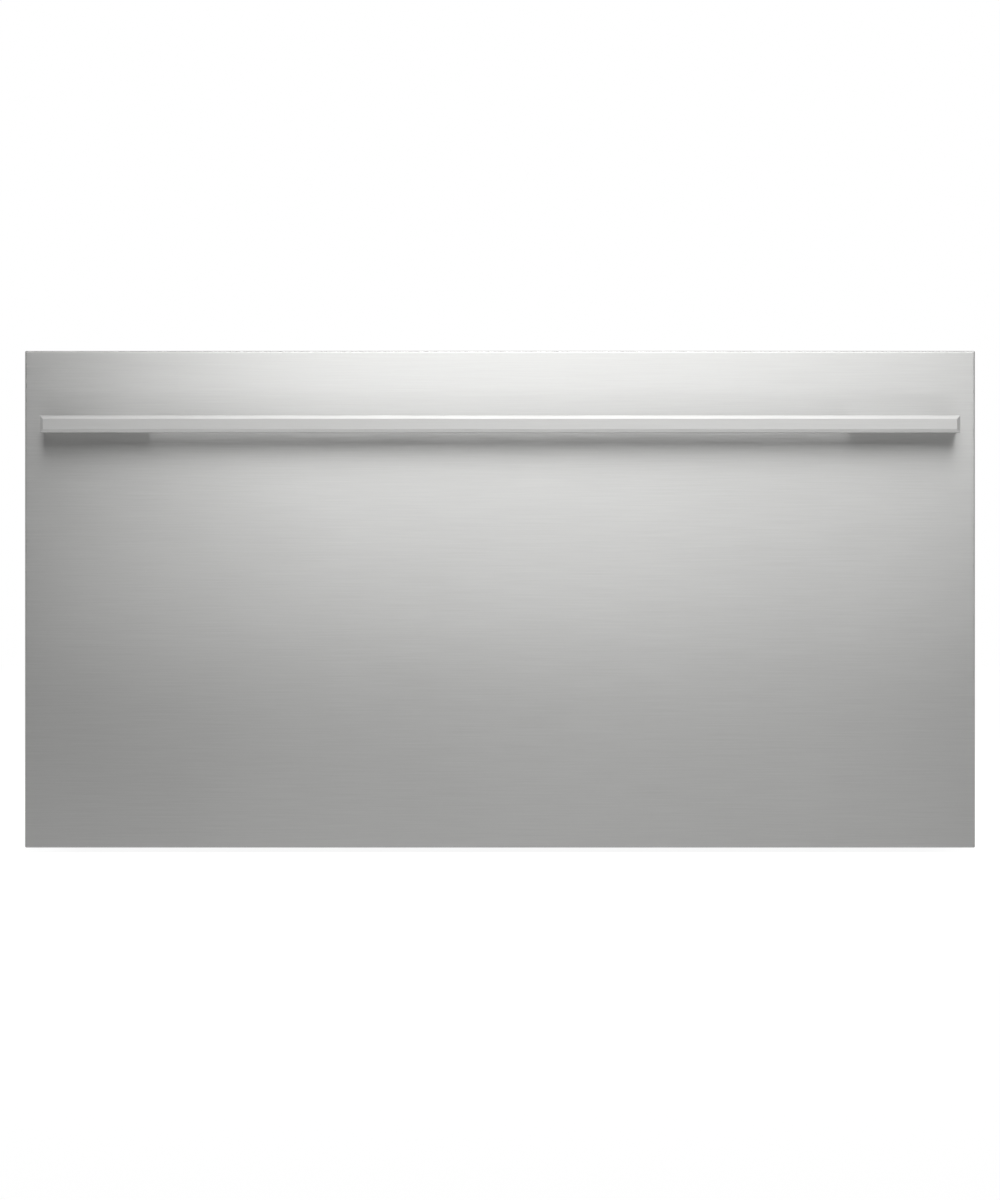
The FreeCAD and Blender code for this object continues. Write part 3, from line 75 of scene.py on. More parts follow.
def makeCamera():
    data = bpy.data.cameras.new("frontCamera")
    camera = putObject("frontCamera", data)
    data.sensor_fit = "VERTICAL"
    data.sensor_height = data.sensor_width = cameraSetup["sensor"]
    data.lens = cameraSetup["sensor"] * cameraSetup["distance"] / cameraSetup["frameTall"]
    data.clip_end = cameraSetup["sees"]
    camera.location = (cameraSetup["aimX"], cameraSetup["panelFront"] - cameraSetup["distance"], cameraSetup["aimZ"])
    camera.rotation_euler = (math.pi / 2, 0, 0)
    bpy.context.scene.camera = camera
    bpy.context.scene.view_settings.view_transform = "Standard"


makeCamera()
print("camera placed")


# Colours are written as sRGB hex and turned to linear here.
def linear(hexValue):
    channels = [int(hexValue[i:i + 2], 16) / 255 for i in (0, 2, 4)]
    return tuple(c / 12.92 if c <= 0.04045 else ((c + 0.055) / 1.055) ** 2.4 for c in channels) + (1.0,)


def addNode(tree, kind, values=None, links=None, **settings):
    node = tree.nodes.new(kind)
    for name, value in settings.items():
        setattr(node, name, value)
    for name, value in (values or {}).items():
        node.inputs[name].default_value = value
    for name, source in (links or {}).items():
        tree.links.new(source, node.inputs[name])
    return node


# A recipe gives two colours, the size of the pattern in mm (one figure, or one each along x, y and z), the range of
# roughness and the height of the relief in mm. This is what it may leave out.
plainRecipe = {
    "metallic": 0.0, "fixed": {}, "brushed": False, "cells": False, "detail": 3.0, "cloud": 4.0, "cloudShare": 0.3,
    "ramp": (0.3, 0.7), "bump": 0.3,
}


def makeFinish(name, given):
    recipe = {**plainRecipe, **given}
    material = bpy.data.materials.new(name)
    tree = emptyTree(material)
    place = addNode(tree, "ShaderNodeTexCoord").outputs["Object"]
    grain = recipe["grain"] if isinstance(recipe["grain"], tuple) else (recipe["grain"],) * 3
    scale = {"Scale": tuple(1 / (size * mm) for size in grain)}
    stretched = addNode(tree, "ShaderNodeMapping", scale, {"Vector": place}).outputs["Vector"]
    if recipe["cells"]:
        pattern = addNode(tree, "ShaderNodeTexVoronoi", {"Scale": 1.0, "Randomness": 1.0}, {"Vector": stretched})
        wave = addNode(tree, "ShaderNodeSeparateColor", links={"Color": pattern.outputs["Color"]}).outputs["Red"]
    else:
        detail = {"Scale": 1.0, "Detail": recipe["detail"], "Roughness": 0.6}
        wave = addNode(tree, "ShaderNodeTexNoise", detail, {"Vector": stretched}).outputs["Fac"]
    broad = addNode(tree, "ShaderNodeTexNoise", {"Scale": recipe["cloud"], "Detail": 2.0}, {"Vector": place})
    both = {2: wave, 3: broad.outputs["Fac"]}
    mixed = addNode(tree, "ShaderNodeMix", {"Factor": recipe["cloudShare"]}, both, data_type="FLOAT").outputs[0]
    tone = addNode(tree, "ShaderNodeValToRGB", links={"Fac": mixed})
    for stop, position, colour in zip(tone.color_ramp.elements, recipe["ramp"], recipe["colours"]):
        stop.position, stop.color = position, linear(colour)
    gloss = addNode(
        tree, "ShaderNodeMapRange",
        {"From Min": 0.3, "From Max": 0.7, "To Min": recipe["roughness"][0], "To Max": recipe["roughness"][1]},
        {"Value": mixed},
    )
    relief = addNode(
        tree, "ShaderNodeBump", {"Strength": recipe["bump"], "Distance": recipe["relief"] * mm}, {"Height": wave},
    )
    shader = addNode(
        tree, "ShaderNodeBsdfPrincipled", {"Metallic": recipe["metallic"], **recipe["fixed"]},
        {"Base Color": tone.outputs["Color"], "Roughness": gloss.outputs["Result"], "Normal": relief.outputs["Normal"]},
    )
    if recipe["brushed"]:
        along = addNode(tree, "ShaderNodeTangent", direction_type="RADIAL", axis="Z")
        tree.links.new(along.outputs["Tangent"], shader.inputs["Tangent"])
    addNode(tree, "ShaderNodeOutputMaterial", links={"Surface": shader.outputs["BSDF"]})
    return material


finishRecipes = {
    # Stainless sheet brushed along its length: fine level streaks and a wide upright sheen.
    "brushedStainlessSteel": {
        "colours": ("989897", "9E9E9D"), "grain": (60, 60, 0.9), "roughness": (0.37, 0.43), "relief": 0.005,
        "metallic": 1.0, "cloudShare": 0.2, "brushed": True,
        "fixed": {"Anisotropic": 0.5, "Anisotropic Rotation": 0.25},
    },
    # Solid stainless bar, ground then scuffed: the same grey with a flatter sheen.
    "groundStainlessBar": {
        "colours": ("9B9B9A", "A2A2A1"), "grain": (60, 0.9, 0.9), "roughness": (0.5, 0.58), "relief": 0.006,
        "metallic": 1.0, "cloudShare": 0.2, "brushed": True,
        "fixed": {"Anisotropic": 0.3, "Anisotropic Rotation": 0.25},
    },
    # Zinc plated strip: cooler and duller, with faint drawing marks.
    "zincPlatedSteel": {
        "colours": ("8F9297", "A8ABB0"), "grain": (1.5, 40, 1.5), "roughness": (0.3, 0.45), "relief": 0.02,
        "metallic": 1.0, "cloudShare": 0.4,
    },
    # Hot dip galvanised sheet: a patchwork of dull crystals, some six millimetres across.
    "galvanisedSheet": {
        "colours": ("9CA1A3", "ACB1B3"), "grain": 6, "roughness": (0.36, 0.5), "relief": 0.01,
        "metallic": 1.0, "cells": True, "cloudShare": 0.25, "ramp": (0.1, 0.9),
    },
    # Powder coat: satin grey with a fine orange peel.
    "greyPowderCoat": {"colours": ("7C7E82", "828488"), "grain": 1.6, "roughness": (0.38, 0.46), "relief": 0.05},
    # Black stoved enamel on the compressor: deep, with a soft gloss.
    "blackEnamel": {"colours": ("121315", "191A1C"), "grain": 2.4, "roughness": (0.25, 0.36), "relief": 0.05},
    # Thermoformed ABS: clean white with a slight waviness.
    "whiteAbs": {"colours": ("E4E6E6", "EBEDED"), "grain": 6, "roughness": (0.26, 0.34), "relief": 0.06},
    # Injection moulded polypropylene: a little greyer and softer than the liner.
    "polypropylene": {
        "colours": ("DDE1E3", "E6EAEB"), "grain": 1.2, "roughness": (0.34, 0.44), "relief": 0.03,
        "fixed": {"Subsurface Weight": 0.05},
    },
    # Spark textured ABS: mid grey, dry to the touch.
    "greyAbs": {"colours": ("4B4D51", "54565A"), "grain": 0.8, "roughness": (0.5, 0.62), "relief": 0.06},
    # Glass filled nylon: near black with a dusty bloom.
    "blackNylon": {"colours": ("17181A", "202224"), "grain": 0.7, "roughness": (0.48, 0.62), "relief": 0.05},
    # Sprayed polyurethane foam: buttery, with open cells at its skin.
    "polyurethaneFoam": {"colours": ("D9C486", "E8D9A6"), "grain": 3, "roughness": (0.85, 0.95), "relief": 0.6},
    # Birch faced stiffener board: pale wood with straight grain.
    "stiffenerBoard": {
        "colours": ("B39164", "C7A87C"), "grain": (80, 80, 1.6), "roughness": (0.6, 0.75), "relief": 0.05,
    },
    # Extruded soft PVC seal: warm grey and slightly greasy.
    "sealPvc": {"colours": ("6B6D6F", "767879"), "grain": 4, "roughness": (0.5, 0.6), "relief": 0.04},
    # Nitrile rubber: black and dull.
    "nitrileRubber": {"colours": ("161616", "1F1F1F"), "grain": 1.5, "roughness": (0.7, 0.82), "relief": 0.05},
    # Rolled aluminium fin stock: bright, with a soft satin.
    "finAluminium": {
        "colours": ("BFC2C4", "D0D3D5"), "grain": (12, 2, 2), "roughness": (0.28, 0.4), "relief": 0.02, "metallic": 1.0,
    },
    # Drawn copper tube: warm, with darker patches where it was brazed.
    "drawnCopper": {
        "colours": ("9A5A3A", "BC7650"), "grain": 12, "roughness": (0.26, 0.42), "relief": 0.02,
        "metallic": 1.0, "cloudShare": 0.6,
    },
    # Smoked acrylic over the display: almost black with a clean gloss.
    "smokedAcrylic": {
        "colours": ("0A0C0E", "101215"), "grain": 8, "roughness": (0.06, 0.1), "relief": 0.0,
        "fixed": {"Coat Weight": 0.5},
    },
    # Figures of a lit display: cold white and even.
    "litFigures": {
        "colours": ("C9E4EE", "D6EEF5"), "grain": 2, "roughness": (0.5, 0.6), "relief": 0.0,
        "fixed": {"Emission Color": (0.72, 0.93, 1.0, 1.0), "Emission Strength": 1.2},
    },
    # Pad printed ink: pale grey and matt.
    "palePrint": {"colours": ("C4C6C8", "CED0D1"), "grain": 0.6, "roughness": (0.6, 0.7), "relief": 0.01},
    # Opal polycarbonate diffuser, lit softly from within.
    "opalDiffuser": {
        "colours": ("F0F1EE", "F6F7F4"), "grain": 3, "roughness": (0.35, 0.45), "relief": 0.02,
        "fixed": {"Emission Color": (1.0, 0.98, 0.94, 1.0), "Emission Strength": 0.25},
    },
}
finishes = {name: makeFinish(name, recipe) for name, recipe in finishRecipes.items()}
print("finishes mixed:", len(finishes))


def pairs(*stems):
    return tuple(f"{stem}_{side}" for stem in stems for side in sides)


# The finish that each CAD node carries.
nodeFinish = {
    "brushedStainlessSteel": ("front_skin",),
    "groundStainlessBar": ("handle_bar", *pairs("handle_post"), "divider_rod"),
    "stiffenerBoard": ("panel_core",),
    "zincPlatedSteel": (
        "handle_studs", "panel_hangers", "mounting_flanges",
        *pairs("outer_rail", "middle_rail", "inner_rail", "outer_roller_cage", "inner_roller_cage", "drawer_bracket"),
    ),
    "galvanisedSheet": ("back_panel", "base_tray", "machine_bulkhead", "rear_cover"),
    "greyPowderCoat": ("door_shell", "outer_case", "front_frame"),
    "whiteAbs": ("door_liner", "inner_liner", "evaporator_cover"),
    "polypropylene": ("drawer_tub", "utility_tray", "tub_divider"),
    "polyurethaneFoam": ("door_foam", "insulation_foam"),
    "sealPvc": ("door_gasket",),
    "greyAbs": ("control_fascia", "button_power", "button_colder", "button_warmer", "control_box"),
    "smokedAcrylic": ("display_window",),
    "blackNylon": (
        *pairs("foot_front", "foot_rear"), "evaporator_fan", "evaporator_fan_motor", "condenser_fan_shroud",
        "condenser_fan", "condenser_fan_motor", "cable_gland", "defrost_drain",
    ),
    "blackEnamel": ("compressor",),
    "nitrileRubber": ("compressor_grommets",),
    "finAluminium": ("evaporator_coil", "condenser_coil"),
    "drawnCopper": ("refrigerant_pipes",),
    "opalDiffuser": ("interior_light",),
}
finishOf = {nodeName: finishName for finishName, nodeNames in nodeFinish.items() for nodeName in nodeNames}
for nodeName, finishName in finishOf.items():
    slots = nodes[nodeName].data.materials
    slots.clear()
    slots.append(finishes[finishName])
print("CAD nodes finished")


# A mesh made of bmesh pieces becomes a named piece that rides on a body and may stand for CAD nodes.
def finishPiece(name, bm, finish, body, stands=(), smoothAngle=32):
    placeMesh(name, closeMesh(name, bm), finish, body, stands, smoothAngle)


# A node's name as the name of a piece.
def camel(name):
    first, *rest = name.split("_")
    return first + "".join(word.capitalize() for word in rest)


# Doubles are merged and the faces turned outwards.
def closeMesh(name, bm):
    bmesh.ops.remove_doubles(bm, verts=bm.verts, dist=0.004 * mm)
    bmesh.ops.recalc_face_normals(bm, faces=bm.faces)
    return keepMesh(name, bm)


def keepMesh(name, bm):
    mesh = bpy.data.meshes.new(name)
    bm.to_mesh(mesh)
    bm.free()
    return mesh


def placeMesh(name, mesh, finish, body, stands=(), smoothAngle=32):
    mesh.shade_smooth()
    mesh.set_sharp_from_angle(angle=math.radians(smoothAngle))
    if not mesh.materials:
        mesh.materials.append(finishes[finish])
    piece = putObject(name, mesh)
    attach(piece, body)
    if stands:
        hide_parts(*stands)


# Rings of equally many points are joined in order. The first and last are closed, unless the rings form a loop.
def addLoft(bm, rings, loop=False):
    made = [[bm.verts.new(point) for point in ring] for ring in rings]
    for low, high in list(zip(made, made[1:])) + ([(made[-1], made[0])] if loop else []):
        for i in range(len(low)):
            j = (i + 1) % len(low)
            bm.faces.new((low[i], low[j], high[j], high[i]))
    if not loop:
        bm.faces.new(list(reversed(made[0])))
        bm.faces.new(made[-1])


# Points of a rounded rectangle in the plane across an axis, at a height along it.
def roundedRing(axis, at, low, high, radius, steps=4):
    radius = max(min(radius, (high[0] - low[0]) / 2, (high[1] - low[1]) / 2), 0.001 * mm)
    corners = (
        (high[0] - radius, high[1] - radius, 0), (low[0] + radius, high[1] - radius, 90),
        (low[0] + radius, low[1] + radius, 180), (high[0] - radius, low[1] + radius, 270),
    )
    ring = []
    for across, up, start in corners:
        for step in range(steps + 1):
            turn = math.radians(start + 90 * step / steps)
            ring.append((across + radius * math.cos(turn), up + radius * math.sin(turn)))
    return [setAxis(axis, at, a, b) for a, b in ring]


def setAxis(axis, at, a, b):
    return {"x": (at, a, b), "y": (a, at, b), "z": (a, b, at)}[axis]


# A ring level with the front, set in from the sides of a box.
def insetRing(box, y, inset, radius, steps=4):
    low, high = box
    return roundedRing("y", y, (low.x + inset, low.z + inset), (high.x - inset, high.z - inset), radius, steps)


# A block with rounded uprights and softened ends, along an axis.
def addBlock(bm, low, high, axis="z", radius=1.0, edge=0.5, steps=3):
    i = "xyz".index(axis)
    others = [k for k in range(3) if k != i]
    flatLow, flatHigh = [low[k] for k in others], [high[k] for k in others]
    edge = min(edge * mm, (high[i] - low[i]) / 3)
    rings = []
    for at, inset in ((low[i], edge), (low[i] + edge, 0), (high[i] - edge, 0), (high[i], edge)):
        a, b = [v + inset for v in flatLow], [v - inset for v in flatHigh]
        rings.append(roundedRing(axis, at, a, b, max(radius * mm - inset, 0.1 * mm), steps))
    addLoft(bm, rings)


# A turned shape: radius and height pairs in mm from one end to the other.
def addTurned(bm, origin, axis, profile, steps=32, flats=None):
    rings = []
    count = flats or steps
    for radius, height in profile:
        around, reach = [], max(radius, tipRadius) * mm
        for step in range(count):
            turn = math.tau * (step + 0.5 * bool(flats)) / count
            spot = setAxis(axis, height * mm, reach * math.cos(turn), reach * math.sin(turn))
            around.append(Vector(spot) + Vector(origin))
        rings.append(around)
    addLoft(bm, rings)


# An outline in two axes is carried along the third.
def addExtrusion(bm, axis, low, high, outline):
    addLoft(bm, [[setAxis(axis, at, a, b) for a, b in outline] for at in (low, high)])


# A copy of a CAD mesh, merged, with its sharp edges rolled over as a press or a mould leaves them.
softening = {"merge": 0.01, "flat": 0.5, "sharp": 50.0, "steps": 2}


def soften(node, finish, body, width):
    bm = bmesh.new()
    bm.from_mesh(nodes[node].data)
    bmesh.ops.remove_doubles(bm, verts=bm.verts, dist=softening["merge"] * mm)
    bmesh.ops.dissolve_limit(bm, angle_limit=math.radians(softening["flat"]), verts=bm.verts, edges=bm.edges)
    mesh = keepMesh(node, bm)
    mesh.materials.clear()
    if width:
        draft = putObject("draft", mesh)
        bevel = draft.modifiers.new("rolledEdges", "BEVEL")
        bevel.width, bevel.segments = width * mm, softening["steps"]
        bevel.limit_method, bevel.angle_limit = "ANGLE", math.radians(softening["sharp"])
        bevel.use_clamp_overlap = True
        mesh = bakeDraft(draft)
    placeMesh(camel(node), mesh, finish, body, (node,), 38)


# What the modifiers of a draft object make of it becomes a plain mesh, and the draft goes.
def bakeDraft(draft):
    mesh = bpy.data.meshes.new_from_object(draft.evaluated_get(bpy.context.evaluated_depsgraph_get()))
    bpy.data.objects.remove(draft)
    return mesh


# Drawer front: one sheet folded back round the edges of the core, with return lips behind.
skinFold = {"bend": 1.5, "sheet": 1.0, "lip": 22.0, "corner": 1.2, "backRound": 0.6}


def makeFrontSkin():
    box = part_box("front_skin")
    sheet, bend, soft, corner, lip = sizes(skinFold, "sheet", "bend", "backRound", "corner", "lip")
    front, back = box[0].y, box[1].y
    turns = [math.radians(turn) for turn in range(0, 91, 15)]
    steps = [(bend - bend * math.sin(turn), front + bend - bend * math.cos(turn)) for turn in turns]
    steps += [(0, back - soft), (soft / 3, back - soft / 4), (soft, back), (lip, back), (lip, back - sheet)]
    steps += [(sheet, back - sheet), (sheet, front + bend), (sheet + 0.2 * mm, front + sheet)]
    bm = bmesh.new()
    addLoft(bm, [insetRing(box, y, inset, max(corner - inset, 0.15 * mm)) for inset, y in steps])
    finishPiece("frontSkin", bm, "brushedStainlessSteel", "drawer", ("front_skin",))


# Handle: a solid bar with every front edge planed back, held off by a block at each end.
barShape = {"bevelTall": 3.0, "bevelDeep": 1.4, "edge": 0.25, "corner": 0.2, "postRound": 0.5, "postEdge": 0.3}


def makeHandle():
    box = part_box("handle_bar")
    front, back = box[0].y, box[1].y
    tall, deep, edge, corner = sizes(barShape, "bevelTall", "bevelDeep", "edge", "corner")
    steps = (
        (back, edge), (back - edge, 0), (front + deep + edge, 0), (front + deep, 0.3 * edge),
        (front + edge / 2, tall - edge / 2), (front, tall + edge / 2),
    )
    bm = bmesh.new()
    addLoft(bm, [insetRing(box, y, inset, corner, 2) for y, inset in steps])
    finishPiece("handleBar", bm, "groundStainlessBar", "drawer", ("handle_bar",), 20)
    for node in pairs("handle_post"):
        bm = bmesh.new()
        addBlock(bm, *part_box(node), "y", barShape["postRound"], barShape["postEdge"])
        finishPiece(camel(node), bm, "groundStainlessBar", "drawer", (node,), 20)


makeFrontSkin()
makeHandle()
print("front and handle made")


# Door seal: an extruded bellows with a magnet tube, pushed into the liner by its root.
sealShape = {"wide": 18.0, "inside": 10.0}


def makeSeal():
    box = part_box("door_gasket")
    wide, inside = sizes(sealShape, "wide", "inside")
    deep = box[1].y - box[0].y
    # Half the section's outline: distance from the outer edge, and depth from the liner. The other half mirrors it.
    section = [
        (0.00, 0.00), (0.00, 0.16), (0.20, 0.22), (0.28, 0.30), (0.10, 0.36), (0.02, 0.44), (0.06, 0.54), (0.02, 0.64),
        (0.00, 0.78), (0.04, 0.92), (0.14, 1.00), (0.50, 0.985),
    ]
    section += [(1 - share, depth) for share, depth in section[-2::-1]]
    rings = [
        insetRing(box, box[0].y + depth * deep, share * wide, inside + wide - share * wide, 8)
        for share, depth in section
    ]
    bm = bmesh.new()
    addLoft(bm, rings, loop=True)
    finishPiece("doorSeal", bm, "sealPvc", "drawer", ("door_gasket",), 60)


makeSeal()
print("seal made")


# How far each node's edges are rolled, in mm, by the body that carries it. Some are bodies of their own.
rolledEdges = {
    "drawer": {
        "door_shell": 0.8, "door_liner": 0.8, "panel_hangers": 0.3, "drawer_tub": 0.7, "divider_rod": 0.0,
        "control_fascia": 0.5, "drawer_bracket_left": 0.3, "drawer_bracket_right": 0.3, "inner_rail_left": 0.25,
        "inner_rail_right": 0.25,
    },
    "cabinet": {
        "base_tray": 0.4, "inner_liner": 0.6, "evaporator_cover": 0.6, "mounting_flanges": 0.3, "rear_cover": 0.25,
        "outer_rail_left": 0.25, "outer_rail_right": 0.25, "control_box": 1.2, "interior_light": 1.5,
        "defrost_drain": 0.5, "machine_bulkhead": 0.25, "evaporator_fan_motor": 0.8, "condenser_fan_shroud": 0.6,
        "condenser_fan_motor": 0.6, "cable_gland": 0.8,
    },
    "itself": {
        "utility_tray": 0.6, "tub_divider": 0.6, "button_power": 0.7, "button_colder": 0.7, "button_warmer": 0.7,
        **dict.fromkeys(pairs("outer_roller_cage", "inner_roller_cage"), 0.12),
        **dict.fromkeys(pairs("middle_rail"), 0.25),
    },
}
for bodyName, widths in rolledEdges.items():
    for nodeName, width in widths.items():
        soften(nodeName, finishOf[nodeName], nodeName if bodyName == "itself" else bodyName, width)
print("sheet and moulded parts softened")


# Front frame: a flat plate round the mouth, whose corners follow those of the moulded liner behind it.
frameShape = {"linerSheet": 2.0, "mouthRound": 12.0, "corner": 1.0, "edge": 0.4}


def makeFrontFrame():
    plate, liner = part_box("front_frame"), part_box("inner_liner")
    front, back = plate[0].y, plate[1].y
    wall, mouth, corner, edge = sizes(frameShape, "linerSheet", "mouthRound", "corner", "edge")
    outside = ((back, 0), (front + edge, 0), (front, edge))
    rings = [insetRing(plate, y, inset, corner) for y, inset in outside]
    rings += [insetRing(liner, y, wall - inset, mouth + inset) for y, inset in outside[::-1]]
    bm = bmesh.new()
    addLoft(bm, rings, loop=True)
    finishPiece("frontFrame", bm, "greyPowderCoat", "cabinet", ("front_frame",), 25)


makeFrontFrame()
print("front frame made")


# Compressor: a drawn steel can welded round its middle, on a pressed foot plate.
canShape = {
    "radius": 66.0, "flatTop": 38.0, "plate": 4.0, "plateRound": 14.0, "plugDeep": 20.0, "plugWide": 36.0,
    "plugTall": 38.0, "plugAt": 0.38, "grommet": 9.0,
}


def makeCompressor():
    low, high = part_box("compressor")
    middle = (low.x + canShape["radius"] * mm, (low.y + high.y) / 2, low.z)
    tall = (high.z - low.z) / mm
    r, t = canShape["radius"], canShape["plate"]
    bm = bmesh.new()
    lowDome = [(0.0, t), (r - 26, t), (r - 12, t + 3), (r - 5, t + 9), (r - 1.5, t + 18), (r - 1, t + 30)]
    seam = [(r - 1, 0.46 * tall), (r, 0.47 * tall), (r, 0.5 * tall), (r - 1.6, 0.505 * tall), (r - 2.4, 0.55 * tall)]
    topDome = [
        (r - 2.6, tall - 30), (r - 4.5, tall - 20), (r - 9, tall - 11), (r - 17, tall - 4.5),
        (canShape["flatTop"], tall - 0.8), (canShape["flatTop"] - 6, tall), (0.0, tall),
    ]
    addTurned(bm, middle, "z", lowDome + seam + topDome, 64)
    plateLow = (middle[0] - r * mm, middle[1] - r * mm, low.z)
    plateHigh = (middle[0] + r * mm, middle[1] + r * mm, low.z + t * mm)
    addBlock(bm, plateLow, plateHigh, "z", canShape["plateRound"], 1.2, 6)
    finishPiece("compressorCan", bm, "blackEnamel", "cabinet", ("compressor",), 40)
    bm = bmesh.new()
    deep, wide, up = sizes(canShape, "plugDeep", "plugWide", "plugTall")
    plug = (high.x - deep, middle[1] - wide / 2, low.z + canShape["plugAt"] * tall * mm)
    addBlock(bm, plug, (high.x, middle[1] + wide / 2, plug[2] + up), "x", 4, 2, 4)
    finishPiece("compressorTerminalCover", bm, "blackNylon", "cabinet")
    low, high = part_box("compressor_grommets")
    bm = bmesh.new()
    height, wide = (high.z - low.z) / mm, canShape["grommet"]
    bead = [
        (0, 0), (wide - 1, 0), (wide, 1), (wide, 4), (6.5, 5.5), (6.5, 8), (8.4, 9.5), (8.4, height - 0.6),
        (7, height), (0, height),
    ]
    for x in (low.x + wide * mm, high.x - wide * mm):
        for y in (low.y + wide * mm, high.y - wide * mm):
            addTurned(bm, (x, y, low.z), "z", bead, 20)
    finishPiece("compressorGrommets", bm, "nitrileRubber", "cabinet", ("compressor_grommets",))


makeCompressor()
print("compressor made")


# Levelling feet: a nylon hexagon on a threaded steel stem, with a rubber sole.
footShape = {
    "radius": 18.0, "soleInset": 3.6, "stemFrom": 6.8, "threadFrom": 7.2, "pitch": 1.5, "root": 4.3, "crest": 4.95,
}


def makeFeet():
    for node in pairs("foot_front", "foot_rear"):
        low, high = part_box(node)
        centre = ((low.x + high.x) / 2, (low.y + high.y) / 2, low.z)
        tall, r = (high.z - low.z) / mm, footShape["radius"]
        bm = bmesh.new()
        addTurned(bm, centre, "z", [(0, 1.6), (r - 1.6, 1.6), (r, 2.4), (r, 6.2), (r - 1, 7), (0, 7)], flats=6)
        finishPiece(camel(node.replace("foot", "foot_nut")), bm, "blackNylon", node, (node,))
        bm = bmesh.new()
        sole = r - footShape["soleInset"]
        addTurned(bm, centre, "z", [(0, 0), (sole - 0.9, 0), (sole, 0.6), (sole, 2), (0, 2)])
        finishPiece(camel(node.replace("foot", "foot_sole")), bm, "nitrileRubber", node)
        bm = bmesh.new()
        root, crest, height = footShape["root"], footShape["crest"], footShape["threadFrom"]
        thread = [(0, footShape["stemFrom"]), (root, footShape["stemFrom"])]
        while height < tall - footShape["pitch"]:
            thread += [(root, height), (crest, height + 0.5), (crest, height + 0.75), (root, height + 1.25)]
            height += footShape["pitch"]
        thread += [(root, tall - 0.6), (root - 0.7, tall), (0, tall)]
        addTurned(bm, centre, "z", thread, 20)
        finishPiece(camel(node.replace("foot", "foot_stem")), bm, "zincPlatedSteel", node, smoothAngle=50)


makeFeet()
print("feet made")


# What repeats or follows a path is grown by Geometry Nodes, with its sizes as named inputs.
def startTree(name, inputs):
    tree = bpy.data.node_groups.new(name, "GeometryNodeTree")
    tree.interface.new_socket("Geometry", in_out="INPUT", socket_type="NodeSocketGeometry")
    for label, kind in inputs.items():
        tree.interface.new_socket(label, in_out="INPUT", socket_type=f"NodeSocket{kind}")
    tree.interface.new_socket("Geometry", in_out="OUTPUT", socket_type="NodeSocketGeometry")
    return tree, addNode(tree, "NodeGroupInput").outputs


def endTree(tree, geometry, given):
    real = addNode(tree, "GeometryNodeRealizeInstances", links={"Geometry": geometry})
    painted = addNode(tree, "GeometryNodeSetMaterial", links={"Geometry": real.outputs[0], "Material": given["Finish"]})
    addNode(tree, "NodeGroupOutput", links={"Geometry": painted.outputs[0]})
    return tree


# The given part is put on every point.
def putParts(tree, given, points, more=None):
    part = addNode(tree, "GeometryNodeObjectInfo", {"As Instance": True}, {"Object": given["Part"]})
    links = {"Points": points, "Instance": part.outputs["Geometry"], **(more or {})}
    return endTree(tree, addNode(tree, "GeometryNodeInstanceOnPoints", links=links).outputs["Instances"], given)


# One part at each vertex, its top turned to the vertex's own facing.
def makeSpotTree():
    tree, given = startTree("partAtEachSpot", {"Part": "Object", "Size": "Float", "Finish": "Material"})
    facing = addNode(tree, "GeometryNodeInputNamedAttribute", {"Name": "facing"}, data_type="FLOAT_VECTOR")
    turned = addNode(tree, "FunctionNodeAlignRotationToVector", links={"Vector": facing.outputs["Attribute"]}, axis="Z")
    return putParts(tree, given, given["Geometry"], {"Rotation": turned.outputs["Rotation"], "Scale": given["Size"]})


# A straight row of one part.
def makeRowTree():
    inputs = {"Part": "Object", "Count": "Int", "Start": "Vector", "Step": "Vector", "Finish": "Material"}
    tree, given = startTree("rowOfParts", inputs)
    line = addNode(tree, "GeometryNodeMeshLine", links={
        "Count": given["Count"], "Start Location": given["Start"], "Offset": given["Step"],
    }, mode="OFFSET")
    return putParts(tree, given, line.outputs["Mesh"])


# One part repeated evenly round an axis.
def makeRingTree():
    inputs = {"Part": "Object", "Count": "Int", "Place": "Vector", "Axis": "Vector", "Finish": "Material"}
    tree, given = startTree("partsRoundAnAxis", inputs)
    dots = addNode(tree, "GeometryNodePoints", links={"Count": given["Count"], "Position": given["Place"]})
    step = addNode(tree, "ShaderNodeMath", {0: math.tau}, {1: given["Count"]}, operation="DIVIDE")
    number = addNode(tree, "GeometryNodeInputIndex").outputs["Index"]
    angle = addNode(tree, "ShaderNodeMath", links={0: number, 1: step.outputs[0]}, operation="MULTIPLY")
    turned = addNode(tree, "FunctionNodeAxisAngleToRotation", links={"Axis": given["Axis"], "Angle": angle.outputs[0]})
    return putParts(tree, given, dots.outputs[0], {"Rotation": turned.outputs["Rotation"]})


# A tube bent along a chain of edges.
def makeTubeTree():
    tree, given = startTree("bentTube", {"Radius": "Float", "Bend": "Float", "Finish": "Material"})
    path = addNode(tree, "GeometryNodeMeshToCurve", links={"Mesh": given["Geometry"]})
    bent = addNode(tree, "GeometryNodeFilletCurve", {"Count": 6, "Limit Radius": True}, {
        "Curve": path.outputs[0], "Radius": given["Bend"],
    }, mode="POLY")
    ring = addNode(tree, "GeometryNodeCurvePrimitiveCircle", {"Resolution": 14}, {"Radius": given["Radius"]})
    tube = addNode(tree, "GeometryNodeCurveToMesh", {"Fill Caps": True}, {
        "Curve": bent.outputs[0], "Profile Curve": ring.outputs["Curve"],
    })
    return endTree(tree, tube.outputs["Mesh"], given)


trees = {"spots": makeSpotTree(), "row": makeRowTree(), "ring": makeRingTree(), "tube": makeTubeTree()}
print("node trees built:", len(trees))


